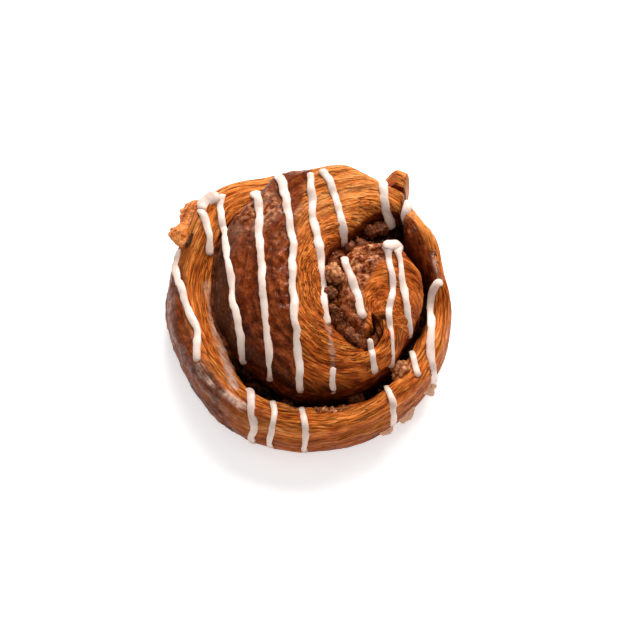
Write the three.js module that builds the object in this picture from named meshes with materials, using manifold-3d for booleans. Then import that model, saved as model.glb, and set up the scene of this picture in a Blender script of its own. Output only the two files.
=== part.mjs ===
// A cinnamon danish swirl: one laminated dough strip wound into a spiral, with filling in its crevice,
// nut pieces in the filling and icing drizzled across. Millimetres, +Z up, base on z = 0 at the origin.
import * as THREE from "three";
import { ParametricGeometry } from "three/addons/geometries/ParametricGeometry.js";
import { mergeVertices } from "three/addons/utils/BufferGeometryUtils.js";
import Module from "manifold-3d";

const wasm = await Module();
wasm.setup();
const { Manifold, Mesh } = wasm;

// Driving dimensions of the round and of the roll inside it
const ROUND_RADIUS = 52.5;
const DOME_HEIGHT = 40;
const RIM_HEIGHT = 21.5;
const EYE = { x: 23, y: -11 };
const RIM = { x: 0, y: 0, a: ROUND_RADIUS, b: ROUND_RADIUS };
const RING = { x: 4, y: 0, a: 39.5, b: 39.5 };
const OVAL = { x: 21, y: -1, a: 13, b: 20.5 };

// The roll's top: an egg-shaped dome that falls away from its crown, with a sunk core and a raised back
const CROWN = { x: 5, y: 18, left: 41, right: 48, front: 56, back: 75, drop: 14, power: 3.5 };
const CORE_DIP = { x: 24, y: 0, a: 15, b: 20, rise: -4.5 };
const BACK_RISE = { x: 16, y: 46, a: 22, b: 12, rise: 2.5 };

// The strip is followed by an angle about the eye, in degrees, that keeps growing from turn to turn
const TURN = 360;
const STEP = 8;
const TIP = 74;
const TEAR = TIP + TURN;
const CREVICE_END = 708;
const CORE_END = 1012;

// Sizes that change along the strip: a base value, then steps [from, to, change] that last,
// and swells [middle, half width, change] that come and go
const CREVICE_OFFSET = {
  base: 11,
  steps: [[118, 134, -6], [142, 168, -5], [400, 426, -4.6], [426, 434, 7], [440, 466, -2.4]],
  swells: [[85, 28, 1.5], [192, 26, -1.8], [335, 55, -2]],
};
const GAP_WIDTH = {
  base: 1.6,
  steps: [[190, 210, 4.2], [278, 310, -3], [426, 434, 12.3], [440, 466, -9.3], [480, 530, -1.2]],
  swells: [[204, 20, 3]],
};
const OUTLINE_OFFSET = {
  base: 3,
  steps: [[138, 185, -3]],
  swells: [[136, 14, 3], [192, 28, -2.5], [404, 22, -1.5]],
};
const RIM_RISE = {
  base: 17,
  steps: [[TIP + 5, TIP + 14, -17], [365, 438, 16]],
  swells: [[136, 34, 9]],
};
const INSIDE_ROUND = {
  base: 1.5,
  steps: [[185, 205, 3]],
  swells: [[416, 26, 4.5], [455, 45, 1]],
};
const OUTSIDE_ROUND = {
  base: 8,
  steps: [[410, 450, -3]],
  swells: [[420, 26, -4], [515, 60, -3.2], [790, 45, -3]],
};
const INSIDE_FALL = {
  base: 1,
  steps: [[330, 380, 0.6], [424, 434, -0.6]],
  swells: [],
};
const INSIDE_SHARE = {
  base: 0.45,
  steps: [[340, 380, 0.3], [424, 434, -0.3]],
  swells: [],
};
const FILLING_DEPTH = {
  base: 0.6,
  steps: [[180, 200, 7.4], [458, 485, -6]],
  swells: [[245, 60, 5], [418, 30, 7], [455, 30, 2]],
};
const OUTSIDE_SHARE = 0.45;
const NOTCH = TEAR - 0.6;
const NOTCH_WIDTH = 2.6;
const NOTCH_DEPTH = 6;
const NOTCH_SECTIONS = [NOTCH - 2.2, NOTCH - 1.1, NOTCH, NOTCH + 1.7];
const TO_OVAL = [418, 462];
const TO_DOME = [408, 452];
const TAIL_COVERED = 24;
const CREVICE_CLOSING = 85;
const GAP_CLOSING = 50;
const ROUND_CLOSING = 30;
const TIP_FLARE = 6;
const TIP_FLARE_LENGTH = 26;

// Uneven dough: waves with a height, a number of them in a turn and a slant across the strip
const WAVES = [{ height: 0.5, perTurn: 7, slant: 0.35 }, { height: 0.4, perTurn: 3, slant: -0.8 }];
const CALM_EYE = 9;

// Layers laid in the crevice
const CLEARANCE = 0.3;
const FILLING_FOOT = 0.8;
const FILLING_START = TIP + STEP;
const FILLING_END = CREVICE_END - 3 * STEP;
const FILLING_SIDES = 8;

// Steps round a section of the strip: base, outer wall, top and inner wall
const BASE_STEPS = 3;
const WALL_STEPS = 5;
const TOP_STEPS = 12;
const INSIDE_STEPS = 4;
const EDGE_CROWDING = 0.55;
const SECTION_STEPS = BASE_STEPS + WALL_STEPS + TOP_STEPS + INSIDE_STEPS;
const WALL_BULGE = 1.2;
const FOOT_TUCK = 1.8;

// Icing strands are flat ovals in section, part sunk in the dough
const ICING_FLATNESS = 0.62;
const ICING_LIFT = 0.3;
const ICING_SAMPLE = 4;
const ICING_SIDES = 6;
const ICING_SHORTEST = 5;
const ICING_TRIM = 0.2;
const ICING_BRIDGES = 5;
const RUN_DOWN_SHARES = [0.8, 0.55, 0.3];

// Nut pieces: angle along the crevice, radius, height above the filling and
// distance out from the middle of the crevice
const NUTS = [
  { angle: 221, radius: 2.6, lift: 0.4, out: 0 },
  { angle: 241, radius: 2.8, lift: 3.0, out: 2.2 },
  { angle: 258, radius: 3.0, lift: 3.0, out: -1.5 },
  { angle: 303, radius: 4.2, lift: 5.0, out: 2.4 },
  { angle: 444, radius: 3.0, lift: 1.5, out: 3 },
  { angle: 450, radius: 2.8, lift: 1.5, out: 3.5 },
  { angle: 457, radius: 3.5, lift: 1.4, out: 0 },
  { angle: 465, radius: 2.6, lift: 1.0, out: 0.5 },
  { angle: 497, radius: 4.2, lift: 1.4, out: -0.8 },
  { angle: 516, radius: 2.4, lift: 0.4, out: 0 },
  { angle: 540, radius: 2.2, lift: 0.4, out: 0 },
  { angle: 586, radius: 2.3, lift: 0.4, out: 0 },
  { angle: 602, radius: 2.5, lift: 0.6, out: 0 },
];
const NUT_ROUGHNESS = 0.16;
const NUT_SQUASH = 0.85;
const LARGE_NUT = 3;

// Icing passes in plan, each run from the back of the round towards the front
const ICING_PASSES = [
  { half: 1.45, line: [[-48.5, 22], [-50, 14], [-46.2, 2.4], [-41, -12.5], [-40.7, -19.4], [-39.8, -25]] },
  { half: 1.4, line: [[-41, 36.2], [-38.2, 28.5], [-37, 23], [-36.3, 17.5]] },
  { half: 2.6, line: [[-40.5, 35], [-39, 38.5], [-33.5, 41.7]] },
  { half: 1.4, line: [[-33.5, 42], [-32.7, 35.3], [-28.1, 1.8], [-23.3, -24], [-20.4, -40], [-18.5, -54]] },
  { half: 1.5, line: [[-22, 40], [-19, 42], [-18.5, 36], [-16.4, 1], [-13.4, -30], [-12, -46], [-14, -54]] },
  { half: 1.5, line: [[-13, 46.5], [-9.4, 40], [-5.5, 13], [-5.5, 3], [-2.7, -36], [0, -54]] },
  { half: 1.45, line: [[0.8, 44.5], [1.9, 26.2], [4.7, 10], [5.1, 3], [5.7, -5], [7.2, -18]] },
  { half: 1.5, line: [[5, 45.5], [9.3, 36.2], [12.6, 23], [13, 15], [14.4, 6], [18.2, -5.8], [20.3, -14]] },
  { half: 1.8, line: [[27.8, 46.5], [28, 36.8], [28.9, 31], [30.5, 27]] },
  { half: 1.5, line: [[38.8, 37], [36.6, 32], [35.6, 28]] },
  { half: 1.9, line: [[27.2, 15.2], [31, 15.7], [35, 14.4]] },
  { half: 1.25, line: [[29.2, 15.8], [31, 0], [29.7, -9], [30.3, -25], [29, -36], [30.5, -42], [27, -48]] },
  { half: 1.2, line: [[33.2, 15.4], [35.2, -2.4], [37, -13.3], [38.6, -23.5], [39.9, -31]] },
  { half: 1.4, line: [[50, 5.2], [47.6, 4.9], [45.9, 2], [45.5, -4], [45, -18], [45.2, -28]] },
  { half: 1.2, line: [[21.8, -21], [22.8, -25.6], [24.3, -31.5]] },
];

// Layers torn loose from the wall: a large lobed one at the back left and thin flakes at the front right.
// Each is hinged on one radius at a height, slopes outward and down, and may be turned in plan
const HINGE_RADIUS = 51.5;
const LOOSE_LAYERS = [
  { azimuth: 142, height: 26, width: 25, length: 13.4, thickness: 2.4, slope: 30, turn: 16, lobes: 2 },
  { azimuth: -33, height: 12, width: 8, length: 7, thickness: 0.9, slope: 50, turn: 0, lobes: 2 },
  { azimuth: -47, height: 9, width: 9, length: 6, thickness: 0.9, slope: 50, turn: 0, lobes: 2 },
  { azimuth: -57, height: 8, width: 7, length: 5.5, thickness: 0.9, slope: 55, turn: 0, lobes: 1.5 },
];
const LOBE_POINTS = 11;
const LOBE_DEPTH = 0.15;
const LOBE_TAPER = 0.4;

const radians = THREE.MathUtils.degToRad;
const mix = THREE.MathUtils.lerp;

function smooth(start, end, value) {
  return THREE.MathUtils.smoothstep(value, start, end);
}

function bump(middle, halfWidth, value) {
  const away = Math.min(Math.abs(value - middle) / halfWidth, 1);
  return (1 - away * away) ** 2;
}

// A size that changes along the strip
function along(size, angle) {
  let value = size.base;
  for (const [from, to, change] of size.steps) value += change * smooth(from, to, angle);
  for (const [middle, halfWidth, change] of size.swells) value += change * bump(middle, halfWidth, angle);
  return value;
}

// Repeatable unevenness between -1 and 1
function chance(seed) {
  const wave = Math.sin(seed * 12.9898 + 4.1414) * 43758.5453;
  return 2 * (wave - Math.floor(wave)) - 1;
}

// Distance from the eye to an oval along a direction
function reach(oval, angle) {
  const direction = radians(angle);
  const dx = Math.cos(direction) / oval.a;
  const dy = Math.sin(direction) / oval.b;
  const ox = (EYE.x - oval.x) / oval.a;
  const oy = (EYE.y - oval.y) / oval.b;
  const square = dx * dx + dy * dy;
  const half = ox * dx + oy * dy;
  return (Math.sqrt(half * half - square * (ox * ox + oy * oy - 1)) - half) / square;
}

// Middle of the crevice: out at the back, round the ring, then in to the oval about the core and its eye
function crevice(angle) {
  const ring = reach(RING, angle) + along(CREVICE_OFFSET, angle);
  const path = mix(ring, reach(OVAL, angle), smooth(...TO_OVAL, angle));
  return path * (1 - smooth(CREVICE_END - CREVICE_CLOSING, CREVICE_END, angle));
}

function gap(angle) {
  return along(GAP_WIDTH, angle) * (1 - smooth(CREVICE_END - GAP_CLOSING, CREVICE_END, angle));
}

// The strip's loose end leans out at its top
function tipFlare(angle) {
  return TIP_FLARE * (1 - smooth(TIP, TIP + TIP_FLARE_LENGTH, angle));
}

function outline(angle) {
  return reach(RIM, angle) + along(OUTLINE_OFFSET, angle) + tipFlare(angle);
}

function innerEdge(angle) {
  return crevice(angle) + gap(angle) / 2;
}

function outerEdge(angle) {
  const before = angle - TURN;
  const behindTail = crevice(before) - gap(before) / 2;
  return mix(outline(angle), behindTail, smooth(TEAR - TAIL_COVERED, TEAR, angle));
}

function mound(shape, x, y) {
  return shape.rise * Math.exp(-(((x - shape.x) / shape.a) ** 2) - ((y - shape.y) / shape.b) ** 2);
}

function dome(x, y) {
  const dx = x - CROWN.x;
  const dy = y - CROWN.y;
  const across = dx / (dx < 0 ? CROWN.left : CROWN.right);
  const forward = dy / (dy < 0 ? CROWN.front : CROWN.back);
  const fall = CROWN.drop * Math.hypot(across, forward) ** CROWN.power;
  return DOME_HEIGHT - fall + mound(CORE_DIP, x, y) + mound(BACK_RISE, x, y);
}

function place(angle, radius) {
  const direction = radians(angle);
  return [EYE.x + radius * Math.cos(direction), EYE.y + radius * Math.sin(direction)];
}

function crest(angle, radius) {
  const [x, y] = place(angle, radius);
  const rim = RIM_HEIGHT + along(RIM_RISE, Math.min(angle, TO_DOME[1]));
  return mix(rim, dome(x, y), smooth(...TO_DOME, angle));
}

// Drop of a rounded edge at a distance in from it
function shoulder(distance, radius) {
  if (distance >= radius) return 0;
  return radius - Math.sqrt(radius * radius - (radius - distance) ** 2);
}

// The waves die out at the eye, where all sections meet
function unevenness(angle, radius) {
  const wave = ({ height, perTurn, slant }) => height * Math.sin(radians(angle * perTurn) + radius * slant);
  return WAVES.reduce((sum, each) => sum + wave(each), 0) * smooth(0, CALM_EYE, radius);
}

// Depth of the notch that the tear cuts across the strip
function notchDepth(angle) {
  return NOTCH_DEPTH * bump(NOTCH, NOTCH_WIDTH, angle);
}

// Upper face of the dough: at the right the strip's inside falls away in a long slope
function topHeight(angle, radius) {
  const inner = innerEdge(angle);
  const outer = outerEdge(angle);
  const insideShare = along(INSIDE_SHARE, angle);
  const outsideShare = Math.min(OUTSIDE_SHARE, 1 - insideShare);
  const closing = 1 - smooth(CREVICE_END - ROUND_CLOSING, CREVICE_END, angle);
  const insideRound = Math.min(along(INSIDE_ROUND, angle) * closing, insideShare * (outer - inner));
  const outsideRound = Math.min(along(OUTSIDE_ROUND, angle), outsideShare * (outer - inner));
  const insideDrop = shoulder(radius - inner, insideRound) * along(INSIDE_FALL, angle);
  const outsideDrop = shoulder(outer - radius, outsideRound);
  return crest(angle, radius) + unevenness(angle, radius) - insideDrop - outsideDrop - notchDepth(angle);
}

// Outer wall at a share of its height: it swells in the middle and tucks in at the foot
function wallRadius(angle, share) {
  const outside = 1 - smooth(TEAR - TAIL_COVERED, TEAR, angle);
  const swell = WALL_BULGE * Math.sin(Math.PI * share) - FOOT_TUCK * (1 - share) ** 4;
  return outerEdge(angle) + outside * (swell - tipFlare(angle) * (1 - share));
}

function wallPoint(angle, share) {
  return [...place(angle, wallRadius(angle, share)), topHeight(angle, outerEdge(angle)) * share];
}

// One point of the strip's section, counted from the foot of its inner wall round by the base
function sectionPoint(angle, count) {
  const inner = innerEdge(angle);
  const outer = outerEdge(angle);
  if (count < BASE_STEPS) {
    const radius = mix(inner, wallRadius(angle, 0), count / BASE_STEPS);
    return [...place(angle, radius), 0];
  }
  const wallCount = count - BASE_STEPS;
  if (wallCount < WALL_STEPS) return wallPoint(angle, wallCount / WALL_STEPS);
  const topCount = wallCount - WALL_STEPS;
  if (topCount < TOP_STEPS) {
    const even = topCount / TOP_STEPS;
    const crowded = 0.5 - 0.5 * Math.cos(Math.PI * even);
    const radius = mix(outer, inner, mix(even, crowded, EDGE_CROWDING));
    return [...place(angle, radius), topHeight(angle, radius)];
  }
  const insideShare = (topCount - TOP_STEPS) / INSIDE_STEPS;
  return [...place(angle, inner), topHeight(angle, inner) * (1 - insideShare)];
}

// Angles of the sections between two ends: even steps, with more of them across the notch at the tear
function sectionAngles(start, end) {
  const count = Math.round((end - start) / STEP);
  const even = Array.from({ length: count + 1 }, (_, number) => start + number * STEP);
  return [...even, ...NOTCH_SECTIONS].sort((a, b) => a - b);
}

// A closed sweep of sections, with each end drawn together to the middle of its section
function sweep(start, end, sides, pointAt, middleAt) {
  const angles = sectionAngles(start, end);
  const last = angles.length + 1;
  const surface = (u, v, target) => {
    const station = Math.round(u * last);
    const angle = angles[THREE.MathUtils.clamp(station - 1, 0, angles.length - 1)];
    const isEnd = station === 0 || station === last;
    target.fromArray(isEnd ? middleAt(angle) : pointAt(angle, Math.round(v * sides) % sides));
  };
  return new ParametricGeometry(surface, last, sides);
}

function doughCoil() {
  const middle = (angle) => {
    const radius = (innerEdge(angle) + outerEdge(angle)) / 2;
    return [...place(angle, radius), topHeight(angle, radius) / 2];
  };
  return sweep(TIP, CORE_END, SECTION_STEPS, sectionPoint, middle);
}

// Filling stands in the crevice: near the top beside the core, deep at the front and in the back hollow
function fillingTop(angle) {
  return crest(angle, crevice(angle)) - along(FILLING_DEPTH, angle);
}

function fillingSolid(growth) {
  const middle = (angle) => [...place(angle, crevice(angle)), (FILLING_FOOT + fillingTop(angle)) / 2];
  const point = (angle, count) => {
    const turn = (2 * Math.PI * (count + 0.5)) / FILLING_SIDES;
    const squared = (value) => Math.sign(value) * Math.sqrt(Math.abs(value));
    const halfWidth = gap(angle) / 2 - CLEARANCE + growth;
    const halfHeight = (fillingTop(angle) - FILLING_FOOT) / 2 + growth;
    const radius = crevice(angle) + halfWidth * squared(Math.cos(turn));
    return [...place(angle, radius), FILLING_FOOT - growth + halfHeight * (1 + squared(Math.sin(turn)))];
  };
  return solid(sweep(FILLING_START, FILLING_END, FILLING_SIDES, point, middle));
}

function nutGeometry(nut, number, growth) {
  const geometry = new THREE.IcosahedronGeometry(1, nut.radius > LARGE_NUT ? 1 : 0);
  const corners = geometry.attributes.position;
  const corner = new THREE.Vector3();
  for (let i = 0; i < corners.count; i += 1) {
    corner.fromBufferAttribute(corners, i);
    const seed = number + Math.round(50 * (corner.x + 3 * corner.y + 7 * corner.z));
    corner.multiplyScalar(nut.radius * (1 + NUT_ROUGHNESS * chance(seed)) + growth);
    corners.setXYZ(i, corner.x, corner.y, corner.z * NUT_SQUASH);
  }
  const [x, y] = place(nut.angle, crevice(nut.angle) + nut.out);
  return geometry.translate(x, y, fillingTop(nut.angle) + nut.lift);
}

// Height that icing lies at over a plan point: on the dough, across the notch, or across the crevice where
// the filling is near the surface; null over the deep crevice and outside the round
function icingHeight(x, y) {
  const radius = Math.hypot(x - EYE.x, y - EYE.y);
  const first = THREE.MathUtils.radToDeg(Math.atan2(y - EYE.y, x - EYE.x));
  for (let angle = first; angle <= CORE_END; angle += TURN) {
    if (angle < TIP) continue;
    const overDough = radius >= innerEdge(angle) && radius <= outerEdge(angle);
    if (overDough) return topHeight(angle, radius) + notchDepth(angle);
    const overCrevice = Math.abs(radius - crevice(angle)) < gap(angle) / 2;
    if (overCrevice && along(FILLING_DEPTH, angle) < ICING_BRIDGES) return crest(angle, crevice(angle));
  }
  return null;
}

// Points of an icing strand that runs on down the outside wall from a plan point at the rim
function runDown(x, y) {
  const angle = THREE.MathUtils.radToDeg(Math.atan2(y - EYE.y, x - EYE.x)) + TURN;
  const onFront = y < 0 && Math.hypot(x, y) > ROUND_RADIUS - 2 * ICING_SAMPLE;
  if (!onFront) return [];
  return RUN_DOWN_SHARES.map((share) => new THREE.Vector3(...wallPoint(angle, share)));
}

// Splits a pass into strands where it crosses the deep crevice
function drape(pass) {
  const knots = pass.line.map(([x, y]) => new THREE.Vector3(x, y, 0));
  const curve = new THREE.CatmullRomCurve3(knots, false, "centripetal");
  const samples = Math.ceil(curve.getLength() / ICING_SAMPLE);
  const strands = [];
  let strand = [];
  const finish = () => {
    const length = strand.length * ICING_SAMPLE;
    if (length >= ICING_SHORTEST) strands.push(icingStrand(strand, pass.half));
    strand = [];
  };
  for (const point of curve.getSpacedPoints(samples)) {
    const height = icingHeight(point.x, point.y);
    if (height !== null) {
      strand.push(new THREE.Vector3(point.x, point.y, height + ICING_LIFT));
    } else if (strand.length > 0) {
      strand.push(...runDown(strand.at(-1).x, strand.at(-1).y));
      finish();
    }
  }
  finish();
  return strands;
}

function icingStrand(points, halfWidth) {
  const extrudePath = new THREE.CatmullRomCurve3(points, false, "centripetal");
  const oval = new THREE.Shape();
  oval.absellipse(0, 0, halfWidth, halfWidth * ICING_FLATNESS, 0, 2 * Math.PI, false, 0);
  const section = new THREE.Shape(oval.getSpacedPoints(ICING_SIDES).slice(0, ICING_SIDES));
  return new THREE.ExtrudeGeometry(section, { steps: points.length - 1, extrudePath, bevelEnabled: false });
}

// A lobed plate, hinged on the coil's wall and sloping outward and down
function looseLayer(layer, number) {
  const edge = [[-layer.width / 2, 0], [layer.width / 2, 0]];
  for (let i = LOBE_POINTS; i >= 0; i -= 1) {
    const share = i / LOBE_POINTS;
    const notch = LOBE_DEPTH * Math.abs(Math.cos(Math.PI * layer.lobes * share + number)) ** 3;
    const tapered = 1 - LOBE_TAPER * (2 * share - 1) ** 4;
    edge.push([(share - 0.5) * layer.width, layer.length * (tapered - notch)]);
  }
  const shape = new THREE.Shape(edge.map(([x, y]) => new THREE.Vector2(x, y)));
  const plate = new THREE.ExtrudeGeometry(shape, { depth: layer.thickness, bevelEnabled: false });
  const facing = radians(layer.azimuth - 90);
  plate.rotateX(-radians(layer.slope)).rotateZ(radians(layer.turn));
  return plate.translate(0, HINGE_RADIUS, layer.height).rotateZ(facing);
}

// A closed solid from a geometry, with shared corners merged and collapsed triangles left out
function solid(geometry) {
  geometry.deleteAttribute("normal");
  geometry.deleteAttribute("uv");
  const merged = mergeVertices(geometry, 1e-3);
  const corners = merged.index.array;
  const triangles = [];
  for (let i = 0; i < corners.length; i += 3) {
    const [a, b, c] = corners.slice(i, i + 3);
    if (a !== b && b !== c && c !== a) triangles.push(a, b, c);
  }
  const vertProperties = new Float32Array(merged.attributes.position.array);
  return new Manifold(new Mesh({ numProp: 3, vertProperties, triVerts: new Uint32Array(triangles) }));
}

function largestBody(shape) {
  return shape.decompose().reduce((best, body) => (body.volume() > best.volume() ? body : best));
}

function meshOf(name, shape, material) {
  const { vertProperties, triVerts } = largestBody(shape).getMesh();
  const geometry = new THREE.BufferGeometry();
  geometry.setAttribute("position", new THREE.BufferAttribute(vertProperties, 3));
  geometry.setIndex(new THREE.BufferAttribute(triVerts, 1));
  geometry.computeVertexNormals();
  const mesh = new THREE.Mesh(geometry, new THREE.MeshStandardMaterial(material));
  mesh.name = name;
  return mesh;
}

const union = (shapes) => shapes.reduce((whole, shape) => whole.add(shape));
const nutSolids = (growth) => NUTS.map((nut, number) => solid(nutGeometry(nut, number, growth)));

const filling = union([fillingSolid(0), ...nutSolids(0)]);
const strands = union(ICING_PASSES.flatMap(drape).map(solid));
const icing = strands.subtract(fillingSolid(ICING_TRIM));
const looseLayers = LOOSE_LAYERS.map((layer, number) => solid(looseLayer(layer, number)));
const coil = union([solid(doughCoil()), ...looseLayers, icing]);
const dough = nutSolids(CLEARANCE).reduce((whole, pocket) => whole.subtract(pocket), coil);

const pastry = new THREE.Group();
pastry.add(meshOf("dough", dough, { color: "#b5682c", roughness: 0.62, metalness: 0 }));
pastry.add(meshOf("filling", filling, { color: "#6b3418", roughness: 0.5, metalness: 0 }));

export default pastry;
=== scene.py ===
# %% [markdown]
# A danish swirl is one strip of laminated dough, wound into a spiral and baked. Dark spiced filling and nut
# pieces sit in the crevice between the turns, and white icing is drizzled over the top. This lesson dresses
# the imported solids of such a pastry: first the stage, then the dough, the filling, the nuts and the icing.

import math
from types import SimpleNamespace

import bmesh
import bpy
import numpy as np
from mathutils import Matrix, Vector, noise


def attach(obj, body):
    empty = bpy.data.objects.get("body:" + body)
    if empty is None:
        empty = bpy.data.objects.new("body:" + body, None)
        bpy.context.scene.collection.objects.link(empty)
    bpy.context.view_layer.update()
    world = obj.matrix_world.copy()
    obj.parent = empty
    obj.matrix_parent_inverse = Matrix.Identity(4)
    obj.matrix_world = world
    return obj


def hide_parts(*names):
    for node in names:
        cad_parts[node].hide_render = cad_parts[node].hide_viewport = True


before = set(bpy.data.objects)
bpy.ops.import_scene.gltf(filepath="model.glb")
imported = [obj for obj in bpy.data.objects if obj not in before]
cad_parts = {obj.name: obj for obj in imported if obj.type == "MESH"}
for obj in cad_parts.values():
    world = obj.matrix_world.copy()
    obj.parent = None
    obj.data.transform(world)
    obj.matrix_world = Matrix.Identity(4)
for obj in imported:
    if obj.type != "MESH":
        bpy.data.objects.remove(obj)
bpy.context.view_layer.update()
scene = bpy.context.scene
scene.view_settings.view_transform = "Standard"
MM = 0.001

# %% [markdown]
# The photograph looks down on the pastry from the front. A long lens far away keeps the round shape
# undistorted. The image is 640 pixels square, and at the aim point a millimetre covers a known number of
# pixels, so the lens follows from the distance and that scale.

# %% Camera
IMAGE_PIXELS = 640
PIXELS_PER_MM = 2.667
CAMERA_DISTANCE = 520.0
CAMERA_ELEVATION = math.radians(62)
CAMERA_AIM = Vector((4.5, -4.0, 15.0))
SENSOR_WIDTH = 36.0

camera_data = bpy.data.cameras.new("photo_camera")
camera_data.sensor_width = SENSOR_WIDTH
camera_data.lens = SENSOR_WIDTH * PIXELS_PER_MM * CAMERA_DISTANCE / IMAGE_PIXELS
camera = bpy.data.objects.new("photo_camera", camera_data)
view_direction = Vector((0, math.cos(CAMERA_ELEVATION), -math.sin(CAMERA_ELEVATION)))
camera.location = (CAMERA_AIM - CAMERA_DISTANCE * view_direction) * MM
camera.rotation_euler = (math.pi / 2 - CAMERA_ELEVATION, 0, 0)
scene.collection.objects.link(camera)
scene.camera = camera
print("lens in millimetres:", round(camera_data.lens, 1))

# %% [markdown]
# The pastry stands on plain pale ground with no edge in sight, and a plane a few metres wide gives that. A
# weak glow of its own keeps it near white right up to the pastry, and throws light back on the front wall,
# which would go black otherwise.

# %% Floor
FLOOR_SIZE = 6.0
FLOOR_WHITE, FLOOR_ROUGHNESS, FLOOR_GLOW = (0.92, 0.92, 0.92, 1), 0.9, 0.54

floor_bm = bmesh.new()
bmesh.ops.create_grid(floor_bm, x_segments=1, y_segments=1, size=FLOOR_SIZE / 2)
floor_mesh = bpy.data.meshes.new("floor")
floor_bm.to_mesh(floor_mesh)
floor_bm.free()
floor_material = bpy.data.materials.new("pale_floor")
floor_material.use_nodes = True
floor_shader = floor_material.node_tree.nodes["Principled BSDF"]
floor_shader.inputs["Base Color"].default_value = FLOOR_WHITE
floor_shader.inputs["Roughness"].default_value = FLOOR_ROUGHNESS
floor_shader.inputs["Emission Color"].default_value = (1, 1, 1, 1)
floor_shader.inputs["Emission Strength"].default_value = FLOOR_GLOW
floor_mesh.materials.append(floor_material)
floor = bpy.data.objects.new("floor", floor_mesh)
scene.collection.objects.link(floor)
print("floor is", FLOOR_SIZE, "metres wide")

# %% [markdown]
# Studio food pictures use one large soft light behind the food and weaker ones above and in front. Point
# lamps would throw a hard shadow from every ridge, so each light is a square area lamp. The one at the back
# rakes over the ridges, which is what makes the flaky layers read.

# %% Surroundings and lights
ROOM_LIGHT = 0.18
PASTRY_MIDDLE = (0, 0, 0.02)
# Name, place and size in metres, power and colour of each lamp.
LIGHTS = [
    ("back_light", (0.14, 0.48, 0.46), 0.46, 7.4, (1.0, 0.98, 0.95)),
    ("top_light", (0.0, 0.0, 0.9), 0.6, 0.8, (1.0, 1.0, 1.0)),
    ("front_light", (0.12, -0.6, 0.42), 0.5, 0.8, (1.0, 0.97, 0.94)),
]


def soft_light(name, position, size, power, colour):
    """A square area light, turned to the pastry."""
    data = bpy.data.lights.new(name, "AREA")
    data.shape = "SQUARE"
    data.size = size
    data.energy = power
    data.color = colour
    light = bpy.data.objects.new(name, data)
    light.location = position
    light.rotation_euler = (Vector(PASTRY_MIDDLE) - Vector(position)).to_track_quat("-Z", "Y").to_euler()
    scene.collection.objects.link(light)


world = bpy.data.worlds.new("pale_room")
world.use_nodes = True
world.node_tree.nodes["Background"].inputs["Color"].default_value = (1, 1, 1, 1)
world.node_tree.nodes["Background"].inputs["Strength"].default_value = ROOM_LIGHT
scene.world = world
for light_values in LIGHTS:
    soft_light(*light_values)
print("lights on the stage:", len(LIGHTS))

# %% [markdown]
# Baked dough has no sharp changes, so most changes in this lesson are soft. Four small functions make them:
# a straight mix, a soft step, a soft bump and a band with soft ends. They take numbers or whole numpy
# arrays, so one call serves a single measure or every point of a piece.

# %% Soft steps
def mix(start, end, share):
    """Straight blend between two values."""
    return start + (end - start) * share


def smooth(start, end, value):
    """Soft step from 0 to 1 between two values."""
    share = np.clip((np.asarray(value, float) - start) / (end - start), 0, 1)
    return share * share * (3 - 2 * share)


def bump(middle, half_width, value):
    """Soft bump of height 1."""
    away = np.minimum(np.abs(np.asarray(value, float) - middle) / half_width, 1)
    return (1 - away * away) ** 2


def band(rise, full, fade, end, value):
    """Soft step up to 1 and, further on, down to 0 again."""
    return smooth(rise, full, value) * (1 - smooth(fade, end, value))


print("a soft step at a quarter of its way is", float(smooth(0, 1, 0.25)))

# %% [markdown]
# The strip is followed by an angle about the eye of the swirl, in degrees, which keeps growing from turn to
# turn. Its sizes change along the way, so each is a base value with steps that last and swells that come and
# go. The solids were made from the same sizes, so the dressed dough fills the same room.

# %% Sizes along the strip
def changing(base, steps, swells):
    """A size along the strip, with steps (from, to, change) and swells (middle, half width, change)."""
    def size(angle):
        value = base
        for start, end, change in steps:
            value = value + change * smooth(start, end, angle)
        for middle, half_width, change in swells:
            value = value + change * bump(middle, half_width, angle)
        return value
    return size


TURN, TIP, CREVICE_END, CORE_END = 360.0, 74.0, 708.0, 1012.0
TEAR = TIP + TURN
FRONT = 262.0
crevice_offset = changing(
    11,
    [(118, 134, -6), (142, 168, -5), (400, 426, -4.6), (426, 434, 7), (440, 466, -2.4)],
    [(85, 28, 1.5), (192, 26, -1.8), (335, 55, -2)],
)
gap_width = changing(
    1.6,
    [(190, 210, 4.2), (278, 310, -3), (426, 434, 12.3), (440, 466, -9.3), (480, 530, -1.2)],
    [(204, 20, 3)],
)
outline_offset = changing(3, [(138, 185, -3)], [(136, 14, 3), (192, 28, -2.5), (404, 22, -1.5)])
rim_rise = changing(17, [(TIP + 5, TIP + 14, -17), (365, 438, 16)], [(136, 34, 9)])
inside_round = changing(1.5, [(185, 205, 3)], [(416, 26, 4.5), (455, 45, 1)])
outside_round = changing(8, [(410, 450, -3)], [(420, 26, -4), (515, 60, -3.2), (790, 45, -3)])
inside_fall = changing(1, [(330, 380, 0.6), (424, 434, -0.6)], [])
inside_share = changing(0.45, [(340, 380, 0.3), (424, 434, -0.3)], [])
filling_depth = changing(0.6, [(180, 200, 7.4), (458, 485, -6)], [(245, 60, 5), (418, 30, 7), (455, 30, 2)])
print("gap at the front in millimetres:", round(float(gap_width(FRONT)), 1))

# %% [markdown]
# In plan, the crevice between turns runs round a ring, then moves in to an oval about the core. What lies
# between one turn of the crevice and the next is dough. A curve drawn by hand could trace this too, but a
# formula gives both edges of the strip at any angle, so that dough, filling and icing all meet.

# %% Plan of the swirl
EYE = np.array([23.0, -11.0])
ROUND_RADIUS = 52.5
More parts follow.
